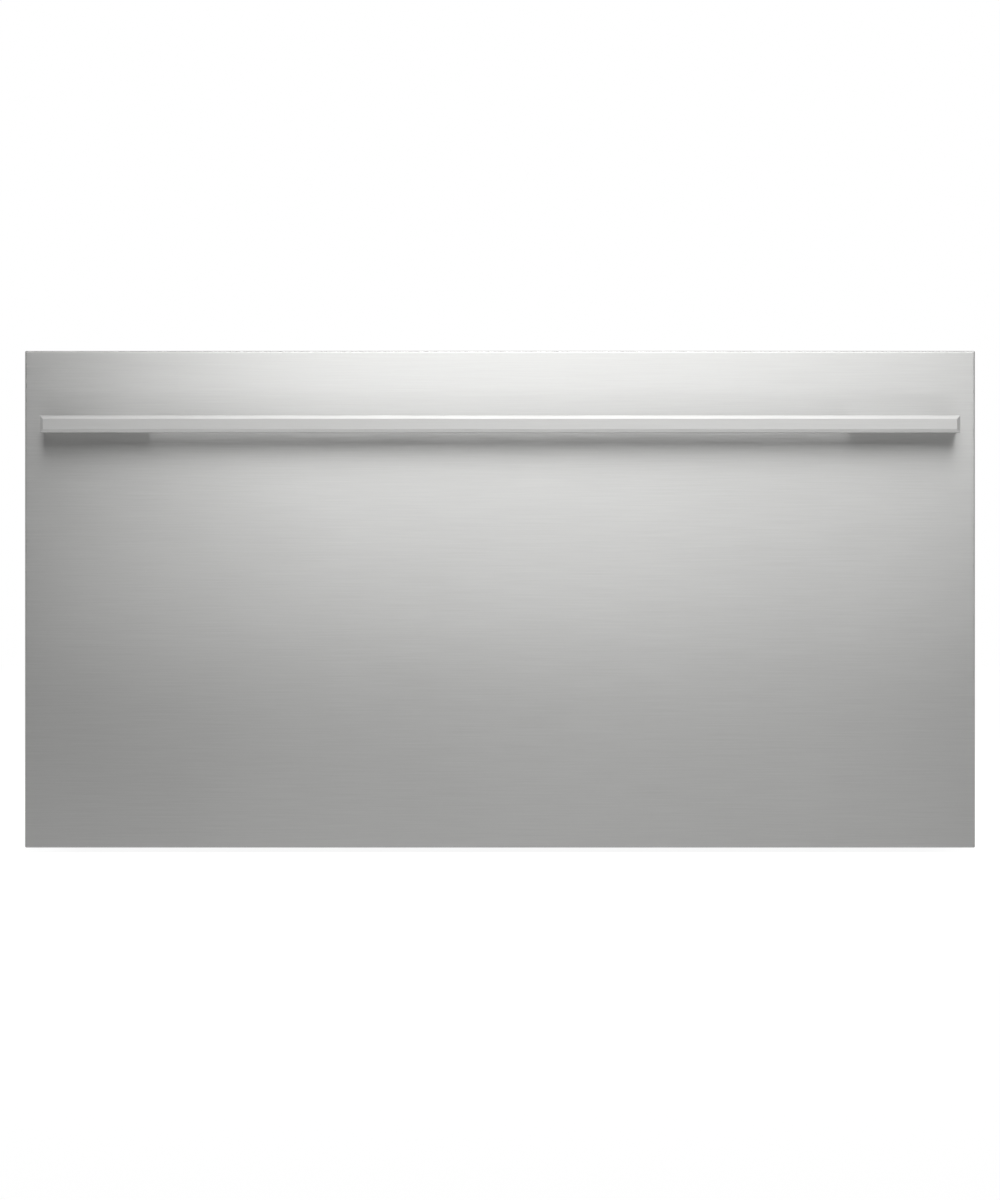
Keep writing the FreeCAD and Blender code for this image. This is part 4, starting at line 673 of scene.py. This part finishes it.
# A tree is grown on a draft object and its result is kept as a plain mesh.
def grow(tree, finish, given, seed=None):
    host = putObject("draft", seed or bpy.data.meshes.new("seed"))
    modifier = host.modifiers.new("grown", "NODES")
    modifier.node_group = trees[tree]
    values = {**given, "Finish": finishes[finish]}
    for socket in trees[tree].interface.items_tree:
        if socket.in_out == "INPUT" and socket.name in values:
            modifier[socket.identifier] = values[socket.name]
    return bakeDraft(host)


# A piece grown from one small part, which goes once it has been used.
def growPiece(name, tree, bm, given, finish, body, stands=(), smoothAngle=32, seed=None):
    part = putObject("part", closeMesh("part", bm))
    mesh = grow(tree, finish, {**given, "Part": part}, seed)
    bpy.data.objects.remove(part)
    placeMesh(name, mesh, finish, body, stands, smoothAngle)


def seedSpots(spots):
    mesh = bpy.data.meshes.new("spots")
    mesh.from_pydata([place for place, facing in spots], [], [])
    facings = mesh.attributes.new("facing", "FLOAT_VECTOR", "POINT")
    for i, (place, facing) in enumerate(spots):
        facings.data[i].vector = facing
    return mesh


# Fasteners: radius and height shares of a head, and whether its ring follows the hexagon of the socket.
fastenerShape = {
    "button": [
        (1, 0, 0), (1, 0.14, 0), (0.9, 0.4, 0), (0.68, 0.58, 0), (0.48, 0.62, 1), (0.44, 0.58, 1), (0.42, 0.2, 1),
        (0, 0.2, 0),
    ],
    "wafer": [
        (1, 0, 0), (0.98, 0.08, 0), (0.9, 0.17, 0), (0.6, 0.2, 0), (0.46, 0.2, 1), (0.42, 0.18, 1), (0.4, 0.06, 1),
        (0, 0.06, 0),
    ],
    "sides": 12, "hexFlat": 0.866, "caseScrew": 3.0, "coverScrew": 3.6, "panelScrew": 3.4,
}
# Where the screws stand, in mm from the edges of the case and of the rear cover.
screwPlaces = {
    "foot": 7.0, "front": 34.0, "rear": 20.0, "rearRow": 12.0, "rearLow": 110.0, "rearTop": 30.0, "topRow": 11.0,
    "topEnds": 30.0, "coverSheet": 1.0, "coverEdge": 10.0, "coverTop": 42.0, "coverEnds": 150.0,
}


def addHead(bm, kind):
    rings = []
    for radius, height, hexed in fastenerShape[kind]:
        ring = []
        for step in range(fastenerShape["sides"]):
            turn = math.tau * step / fastenerShape["sides"]
            reach = max(radius * (fastenerShape["hexFlat"] if hexed and step % 2 else 1.0), tipRadius) * mm
            ring.append((reach * math.cos(turn), reach * math.sin(turn), height * mm))
        rings.append(ring)
    addLoft(bm, rings)


def spread(low, high, count):
    return [low + (high - low) * i / (count - 1) for i in range(count)]


def fasten(name, kind, size, spots):
    bm = bmesh.new()
    addHead(bm, kind)
    growPiece(name, "spots", bm, {"Size": size}, "zincPlatedSteel", "cabinet", smoothAngle=40, seed=seedSpots(spots))


def makeFasteners():
    low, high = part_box("outer_case")
    at = {name: distance * mm for name, distance in screwPlaces.items()}
    rear, spots = high.y - at["rearRow"], []
    for side, x in ((-1, low.x), (1, high.x)):
        spots += [
            ((x, y, low.z + at["foot"]), (side, 0, 0)) for y in spread(low.y + at["front"], high.y - at["rear"], 5)
        ]
        spots += [((x, rear, z), (side, 0, 0)) for z in spread(low.z + at["rearLow"], high.z - at["rearTop"], 4)]
    for y in (low.y + at["topRow"], rear):
        spots += [((x, y, high.z), (0, 0, 1)) for x in spread(low.x + at["topEnds"], high.x - at["topEnds"], 5)]
    fasten("caseScrews", "button", fastenerShape["caseScrew"], spots)
    low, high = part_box("rear_cover")
    face, edge, spots = low.y + at["coverSheet"], at["coverEdge"], []
    for x in (low.x + edge, high.x - edge):
        spots += [((x, face, z), (0, 1, 0)) for z in spread(low.z + edge, high.z - at["coverTop"], 3)]
    for x in spread(low.x + at["coverEnds"], high.x - at["coverEnds"], 3):
        spots.append(((x, face, low.z + edge), (0, 1, 0)))
    fasten("rearCoverScrews", "button", fastenerShape["coverScrew"], spots)


makeFasteners()
print("fasteners set")


# Outer case: one sheet folded over the top, its bends a few millimetres round, with a lip round the back.
caseFold = {"bend": 2.5, "sheet": 1.0, "lip": 13.0}


def makeCase():
    low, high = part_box("outer_case")
    sheet, bend, lip = sizes(caseFold, "sheet", "bend", "lip")

    def overTheTop(inset):
        line = [(low.x + inset, low.z)]
        for start, x in ((180, low.x + bend), (90, high.x - bend)):
            for turn in (math.radians(start - 15 * step) for step in range(7)):
                line.append((x + (bend - inset) * math.cos(turn), high.z - bend + (bend - inset) * math.sin(turn)))
        return line + [(high.x - inset, low.z)]

    bm = bmesh.new()
    addExtrusion(bm, "y", low.y, high.y, overTheTop(0) + overTheTop(sheet)[::-1])
    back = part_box("back_panel")
    x, top, bottom = high.x - sheet, high.z - sheet, back[0].z
    rim = [(-x, bottom), (-x, top), (x, top), (x, bottom)]
    rim += [(x - lip, bottom), (x - lip, top - lip), (-x + lip, top - lip), (-x + lip, bottom)]
    addExtrusion(bm, "y", back[1].y - backShape["relief"] * mm, back[1].y - 0.1 * mm, rim)
    finishPiece("outerCase", bm, "greyPowderCoat", "cabinet", ("outer_case",))


# Back panel: a thin sheet with pressed level beads and flat screws round its edge.
backShape = {
    "relief": 0.7, "corner": 3.0, "beads": 5, "beadTall": 14.0, "beadInset": 60.0, "beadEnds": 40.0,
    "screwEdge": 7.0, "screwTop": 80.0,
}


def makeBack():
    low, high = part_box("back_panel")
    relief, inset, tall, ends = sizes(backShape, "relief", "beadInset", "beadTall", "beadEnds")
    edge, top = sizes(backShape, "screwEdge", "screwTop")
    face = high.y - relief
    bm = bmesh.new()
    addBlock(bm, low, (high.x, face, high.z), "y", backShape["corner"], 0.1, 4)
    finishPiece("backPanel", bm, "galvanisedSheet", "cabinet", ("back_panel",))
    bm = bmesh.new()
    rings = []
    for out, shrink in ((0, 0), (0.35, 1.6), (0.75, 3.2), (1.0, 4.4)):
        reach, half = inset + shrink * mm, tall / 2 - shrink * mm
        rings.append(roundedRing("y", face + out * relief, (low.x + reach, -half), (high.x - reach, half), tall / 2, 6))
    addLoft(bm, rings)
    step = (high.z - low.z - 2 * ends) / (backShape["beads"] - 1)
    given = {"Count": backShape["beads"], "Start": (0, 0, low.z + ends), "Step": (0, 0, step)}
    growPiece("backPanelBeads", "row", bm, given, "galvanisedSheet", "cabinet", smoothAngle=60)
    spots = [((x, face, high.z - edge), (0, 1, 0)) for x in spread(low.x + edge, high.x - edge, 7)]
    for z in spread(low.z + edge, high.z - top, 3):
        spots += [((x, face, z), (0, 1, 0)) for x in (low.x + edge, high.x - edge)]
    fasten("backPanelScrews", "wafer", fastenerShape["panelScrew"], spots)


makeCase()
makeBack()
print("case and back made")


# Rear cover: each slot has a pressed hood, open on one side.
louvreShape = {
    "slots": 15, "vent": 640.0, "slotWide": 14.0, "slotTall": 46.0, "past": 2.0, "spread": 0.3, "hoodHigh": 4.6,
    "sheet": 0.7, "from": -3.0, "cover": 9.0, "lip": 0.4, "panel": 1.0, "sunk": 0.05,
    # How far from a hood's end, in mm, it has come to which share of its height.
    "ends": ((0, 0.02), (0.8, 0.45), (2.5, 0.85), (5, 1.0)),
}


def makeLouvres():
    low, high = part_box("rear_cover")
    face = low.y + louvreShape["panel"] * mm
    tall, rise = louvreShape["slotTall"] / 2 + louvreShape["past"], louvreShape["hoodHigh"]
    ends, turns, rings = louvreShape["ends"], [i / 6 for i in range(7)], []
    start, cover = louvreShape["from"], louvreShape["cover"]
    levels = [(away - tall, share) for away, share in ends] + [(tall - away, share) for away, share in ends[::-1]]
    for z, share in levels:
        over = [(start + cover * turn, rise * share * math.sin(math.pi / 2 * turn)) for turn in turns]
        under = [(x + louvreShape["lip"], max(y - louvreShape["sheet"], 0.0)) for x, y in reversed(over)]
        rings.append([(x * mm, y * mm, z * mm) for x, y in over + under])
    step = (louvreShape["vent"] - louvreShape["slotWide"]) / (louvreShape["slots"] - 1) * mm
    half, start = (high.z - low.z) / 2, -louvreShape["vent"] / 2 * mm
    for label, sign in (("Lower", -1), ("Upper", 1)):
        bm = bmesh.new()
        addLoft(bm, rings)
        z = low.z + (1 + sign * louvreShape["spread"]) * half
        place = (start, face - louvreShape["sunk"] * mm, z)
        given = {"Count": louvreShape["slots"], "Start": place, "Step": (step, 0, 0)}
        growPiece(f"rearLouvres{label}", "row", bm, given, "galvanisedSheet", "cabinet", smoothAngle=50)


makeLouvres()
print("rear cover made")


# Refrigerant pipes: routes in mm, from compressor to condenser, from compressor to evaporator and from condenser
# to drier. The capillary runs on from the drier to the evaporator.
pipeShape = {"radius": 3.0, "bend": 11.0, "capillary": 1.2, "capillaryBend": 8.0, "drier": 9.0}
pipeRoutes = [
    [(-234, 247, 140.06), (-216, 247, 140.06), (-216, 223, 140.06), (-216, 223, 174.5), (276.5, 223, 174.5),
     (276.5, 247, 174.5), (276.5, 247, 140.5), (258.5, 247, 140.5)],
    [(-234, 250.5, 70.5), (-204, 250.5, 70.5), (-204, 250.5, 303.2), (-188, 250.5, 303.2)],
    [(258.5, 247, 41.5), (291.5, 247, 41.5), (291.5, 247, 53.5)],
]
capillaryRoute = [
    (291.5, 247, 113.5), (291.5, 247, 186.5), (291.5, 255, 186.5), (-204, 255, 186.5), (-204, 255, 396.8),
    (-188, 255, 396.8),
]


def seedRoutes(routes):
    places, edges = [], []
    for route in routes:
        edges += [(len(places) + i, len(places) + i + 1) for i in range(len(route) - 1)]
        places += [Vector(point) * mm for point in route]
    mesh = bpy.data.meshes.new("route")
    mesh.from_pydata(places, edges, [])
    return mesh


def makePipes():
    for name, routes, keys, stands in (
        ("refrigerantPipes", pipeRoutes, ("radius", "bend"), ("refrigerant_pipes",)),
        ("capillaryPipe", [capillaryRoute], ("capillary", "capillaryBend"), ()),
    ):
        radius, bend = sizes(pipeShape, *keys)
        mesh = grow("tube", "drawnCopper", {"Radius": radius, "Bend": bend}, seedRoutes(routes))
        placeMesh(name, mesh, "drawnCopper", "cabinet", stands, 60)
    bottom, top = Vector(pipeRoutes[2][-1]) * mm, Vector(capillaryRoute[0]) * mm
    tall, r = (top.z - bottom.z) / mm, pipeShape["drier"]
    profile = [
        (0, 0), (3.4, 0), (3.8, 3), (r - 2.5, 6), (r - 0.6, 8.5), (r, 11), (r, 14), (r - 0.5, 14.6),
        (r - 0.5, tall - 15), (r, tall - 14.4), (r, tall - 11), (r - 1, tall - 8), (4, tall - 3.5),
        (2.2, tall - 2), (2.2, tall), (0, tall),
    ]
    bm = bmesh.new()
    addTurned(bm, bottom, "z", profile, 28)
    finishPiece("filterDrier", bm, "drawnCopper", "cabinet", smoothAngle=40)


makePipes()
print("pipes bent")


# Fin packs: thin plates stand close together on the tubes.
finShape = {"pitch": 5.5, "thick": 0.3, "inset": 1.0, "end": 18.0, "corner": 1.5, "edge": 0.05}


def makeFins():
    thick, inset, end, pitch = sizes(finShape, "thick", "inset", "end", "pitch")
    for name, node in (("evaporatorFins", "evaporator_coil"), ("condenserFins", "condenser_coil")):
        low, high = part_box(node)
        bm = bmesh.new()
        a, b = (-thick / 2, low.y + inset, low.z + inset), (thick / 2, high.y - inset, high.z - inset)
        addBlock(bm, a, b, "x", finShape["corner"], finShape["edge"], 1)
        count = int((high.x - low.x - 2 * end) / pitch) + 1
        start = (low.x + high.x) / 2 - (count - 1) * pitch / 2
        given = {"Count": count, "Start": (start, 0, 0), "Step": (pitch, 0, 0)}
        growPiece(name, "row", bm, given, "finAluminium", "cabinet")


makeFins()
print("fins stacked")


# Fans: moulded blades that twist from root to tip, on a domed hub.
fanShape = {
    "evaporator_fan": {"axis": "y", "centre": (-268.0, 236.1, 350.0), "radius": 46.0, "hub": 13.0, "deep": 16.0},
    "condenser_fan": {"axis": "x", "centre": (76.4, 247.0, 91.0), "radius": 51.0, "hub": 14.0, "deep": 17.0},
    "blades": 5, "rootPitch": 40.0, "tipPitch": 26.0, "rootChord": 0.42, "tipChord": 0.6, "thick": 1.4, "camber": 0.07,
    "rootAt": 0.85, "tipAt": 0.94, "roundFrom": 0.75, "roundBy": 0.35, "thinEdge": 0.35,
}


def makeFans():
    bladeStart, rounded = fanShape["rootAt"], fanShape["roundFrom"]
    for node in ("evaporator_fan", "condenser_fan"):
        fan = fanShape[node]
        axis, radius, hub, half = fan["axis"], fan["radius"], fan["hub"], fan["deep"] / 2
        rings = []
        for share in (step / 8 for step in range(9)):
            out = hub * bladeStart + (radius * fanShape["tipAt"] - hub * bladeStart) * share
            pitch = math.radians(fanShape["rootPitch"] + (fanShape["tipPitch"] - fanShape["rootPitch"]) * share)
            chord = radius * (fanShape["rootChord"] + (fanShape["tipChord"] - fanShape["rootChord"]) * share)
            chord *= 1 - fanShape["roundBy"] * max(share - rounded, 0) / (1 - rounded)
            top, bottom = [], []
            for i in range(7):
                along, bow = (i / 6 - 0.5) * chord, 1 - (2 * i / 6 - 1) ** 2
                lift = fanShape["camber"] * chord * bow
                thick = fanShape["thick"] * (fanShape["thinEdge"] + (1 - fanShape["thinEdge"]) * bow) / 2
                across, rise = along * math.cos(pitch), along * math.sin(pitch)
                reach = math.sqrt(max(out ** 2 - across ** 2, 1))
                for line, height in ((top, rise + lift + thick), (bottom, rise + lift - thick)):
                    place = (height, reach, across) if axis == "x" else (reach, height, across)
                    line.append(Vector(place) * mm)
            rings.append(top + bottom[::-1])
        bm = bmesh.new()
        addLoft(bm, rings)
        centre, label = Vector(fan["centre"]) * mm, camel(node)
        given = {"Count": fanShape["blades"], "Place": centre, "Axis": setAxis(axis, 1, 0, 0)}
        growPiece(f"{label}Blades", "ring", bm, given, "blackNylon", node, (node,), 40)
        bm = bmesh.new()
        profile = [
            (0, half - 5), (3, half - 5), (hub - 1.4, half - 5), (hub - 1.4, half), (hub, half), (hub, -half + 4),
            (hub - 1.2, -half + 1.6), (hub - 4, -half + 0.4), (0, -half),
        ]
        addTurned(bm, centre, axis, profile, 36)
        finishPiece(f"{label}Hub", bm, "blackNylon", node, smoothAngle=40)


makeFans()
print("fans made")


# Control strip: lit figures under the smoked window and a printed sign on each button.
signShape = {
    "stroke": 0.9, "raise": 0.12, "digitTall": 9.0, "digitWide": 4.6, "digitsApart": 6.1, "gap": 0.5,
    "degreeUp": 3.6, "degreeRadius": 1.1, "degreeStroke": 0.7, "powerRadius": 2.8, "powerBar": (0.6, 3.9),
    "plusHalf": 3.0,
}
segments = {"4": "bcfg", "C": "adef"}


def addBar(bm, x0, y0, x1, y1, z):
    addBlock(bm, (x0, y0, z), (x1, y1, z + signShape["raise"] * mm), "z", 0.25, 0.03, 2)


def addDigit(bm, sign, x, y, z):
    w, t, s, gap = (size / 2 for size in sizes(signShape, "digitWide", "digitTall", "stroke", "gap"))
    for level, up in (("a", t), ("g", 0), ("d", -t)):
        if level in segments[sign]:
            addBar(bm, x - w + s + gap, y + up - s, x + w - s - gap, y + up + s, z)
    for upper, lower, across in (("b", "c", w), ("f", "e", -w)):
        if upper in segments[sign]:
            addBar(bm, x + across - s, y + gap + s, x + across + s, y + t - gap, z)
        if lower in segments[sign]:
            addBar(bm, x + across - s, y - t + gap, x + across + s, y - s - gap, z)


def addArc(bm, x, y, z, radius, stroke, start, end, steps):
    rings = []
    near, far, top = (radius - stroke / 2) * mm, (radius + stroke / 2) * mm, z + signShape["raise"] * mm
    for turn in (math.radians(start + (end - start) * step / steps) for step in range(steps + 1)):
        across, up = math.cos(turn), math.sin(turn)
        section = ((near, z), (far, z), (far, top), (near, top))
        rings.append([(x + reach * across, y + reach * up, level) for reach, level in section])
    addLoft(bm, rings)


def makeSigns():
    low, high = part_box("display_window")
    x, y, top = (low.x + high.x) / 2, (low.y + high.y) / 2, high.z
    apart, up, stroke, half = sizes(signShape, "digitsApart", "degreeUp", "stroke", "plusHalf")
    stroke, (barLow, barHigh) = stroke / 2, signShape["powerBar"]
    bm = bmesh.new()
    addDigit(bm, "4", x - apart, y, top)
    addArc(bm, x, y + up, top, signShape["degreeRadius"], signShape["degreeStroke"], 0, 337.5, 15)
    addDigit(bm, "C", x + apart, y, top)
    finishPiece("displayFigures", bm, "litFigures", "drawer")
    for name, sign in (("button_power", "power"), ("button_colder", "minus"), ("button_warmer", "plus")):
        low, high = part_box(name)
        x, y, top = (low.x + high.x) / 2, (low.y + high.y) / 2, high.z
        bm = bmesh.new()
        if sign == "power":
            addArc(bm, x, y, top, signShape["powerRadius"], signShape["stroke"], 125, 415, 20)
            addBar(bm, x - stroke, y + barLow * mm, x + stroke, y + barHigh * mm, top)
        else:
            addBar(bm, x - half, y - stroke, x + half, y + stroke, top)
        if sign == "plus":
            addBar(bm, x - stroke, y + stroke, x + stroke, y + half, top)
            addBar(bm, x - stroke, y - half, x + stroke, y - stroke, top)
        finishPiece(f"{sign}Sign", bm, "palePrint", name)


makeSigns()
print("control strip signed")


# Studio: a white floor that keeps the shadow, white all round, and a black card for the steel to mirror.
studio = {
    "floorHalf": 12.0, "floorWhite": 0.3, "floorGlow": 0.9, "bounceWhite": 0.8, "worldGrey": 0.36,
    "cardAway": -4.0, "cardHalf": 4.0, "cardLow": 0.01, "cardTall": 3.2, "cardBlack": 0.02,
}
plainWhite = (1.0, 1.0, 1.0, 1.0)


# Camera, glossy and transmission rays all see the white background.
def seenRays(tree):
    rays = addNode(tree, "ShaderNodeLightPath").outputs
    first = {0: rays["Is Camera Ray"], 1: rays["Is Glossy Ray"]}
    either = addNode(tree, "ShaderNodeMath", links=first, operation="MAXIMUM")
    both = {0: either.outputs[0], 1: rays["Is Transmission Ray"]}
    return addNode(tree, "ShaderNodeMath", links=both, operation="MAXIMUM").outputs[0]


def matteShader(tree, level):
    return addNode(tree, "ShaderNodeBsdfDiffuse", {"Color": (level,) * 3 + (1.0,)}).outputs[0]


def stageSheet(name, corners, material):
    mesh = bpy.data.meshes.new(name)
    mesh.from_pydata(corners, [], [tuple(range(len(corners)))])
    mesh.materials.append(material)
    sheet = putObject(name, mesh)
    return sheet


def makeFloor():
    half = studio["floorHalf"]
    material = bpy.data.materials.new("whiteFloor")
    tree = emptyTree(material)
    bounce, matte = matteShader(tree, studio["bounceWhite"]), matteShader(tree, studio["floorWhite"])
    glow = addNode(tree, "ShaderNodeEmission", {"Color": plainWhite, "Strength": studio["floorGlow"]})
    lifted = addNode(tree, "ShaderNodeAddShader", links={0: matte, 1: glow.outputs[0]})
    choice = addNode(tree, "ShaderNodeMixShader", links={0: seenRays(tree), 1: bounce, 2: lifted.outputs[0]})
    addNode(tree, "ShaderNodeOutputMaterial", links={"Surface": choice.outputs[0]})
    stageSheet("studioFloor", [(-half, -half, 0), (half, -half, 0), (half, half, 0), (-half, half, 0)], material)


def makeCard():
    away, half, low, tall = studio["cardAway"], studio["cardHalf"], studio["cardLow"], studio["cardTall"]
    material = bpy.data.materials.new("blackCard")
    tree = emptyTree(material)
    addNode(tree, "ShaderNodeOutputMaterial", links={"Surface": matteShader(tree, studio["cardBlack"])})
    corners = [(-half, away, low), (half, away, low), (half, away, tall), (-half, away, tall)]
    stageSheet("studioCard", corners, material).visible_camera = False


def makeWorld():
    world = bpy.data.worlds.new("studioWorld")
    bpy.context.scene.world = world
    tree = emptyTree(world)
    white = addNode(tree, "ShaderNodeBackground", {"Color": plainWhite, "Strength": 1.0})
    grey = addNode(tree, "ShaderNodeBackground", {"Color": plainWhite, "Strength": studio["worldGrey"]})
    choice = addNode(tree, "ShaderNodeMixShader", links={0: seenRays(tree), 1: grey.outputs[0], 2: white.outputs[0]})
    addNode(tree, "ShaderNodeOutputWorld", links={"Surface": choice.outputs[0]})


# Place, aim, size, watts and spread in degrees of each lamp.
softBoxes = {
    "lowFront": ((0.16, -1.7, 1.1), (0.16, -0.29, 0.48), (1.2, 0.8), 1.4, 50),
    "highFront": ((0.16, -1.9, 1.9), (0.16, -0.29, 0.36), (1.4, 1.4), 4.0, 50),
    "nearFront": ((0.16, -1.2, 0.8), (0.16, -0.29, 0.47), (1.3, 0.3), 0.18, 70),
    "underBar": ((0.1, -0.95, 0.03), (0.1, -0.32, 0.42), (1.2, 0.12), 0.23, 44),
    "keyLeft": ((-2.6, -2.2, 2.6), (0.0, 0.0, 0.2), (2.0, 2.0), 8.8, 180),
    "fillRight": ((2.6, -1.6, 2.2), (0.0, 0.0, 0.2), (2.0, 2.0), 8.8, 180),
    "backTop": ((0.0, 2.4, 2.8), (0.0, 0.0, 0.2), (2.4, 2.0), 10.5, 180),
}


def makeLamps():
    for name, (place, aim, size, watts, spreadAngle) in softBoxes.items():
        data = bpy.data.lights.new(name, "AREA")
        data.shape = "RECTANGLE"
        data.size, data.size_y = size
        data.energy = watts
        data.spread = math.radians(spreadAngle)
        lamp = putObject(name, data)
        lamp.location = place
        lamp.rotation_euler = (Vector(aim) - Vector(place)).to_track_quat("-Z", "Y").to_euler()
        lamp.visible_camera = False


makeFloor()
makeCard()
makeWorld()
makeLamps()
print("studio lit")
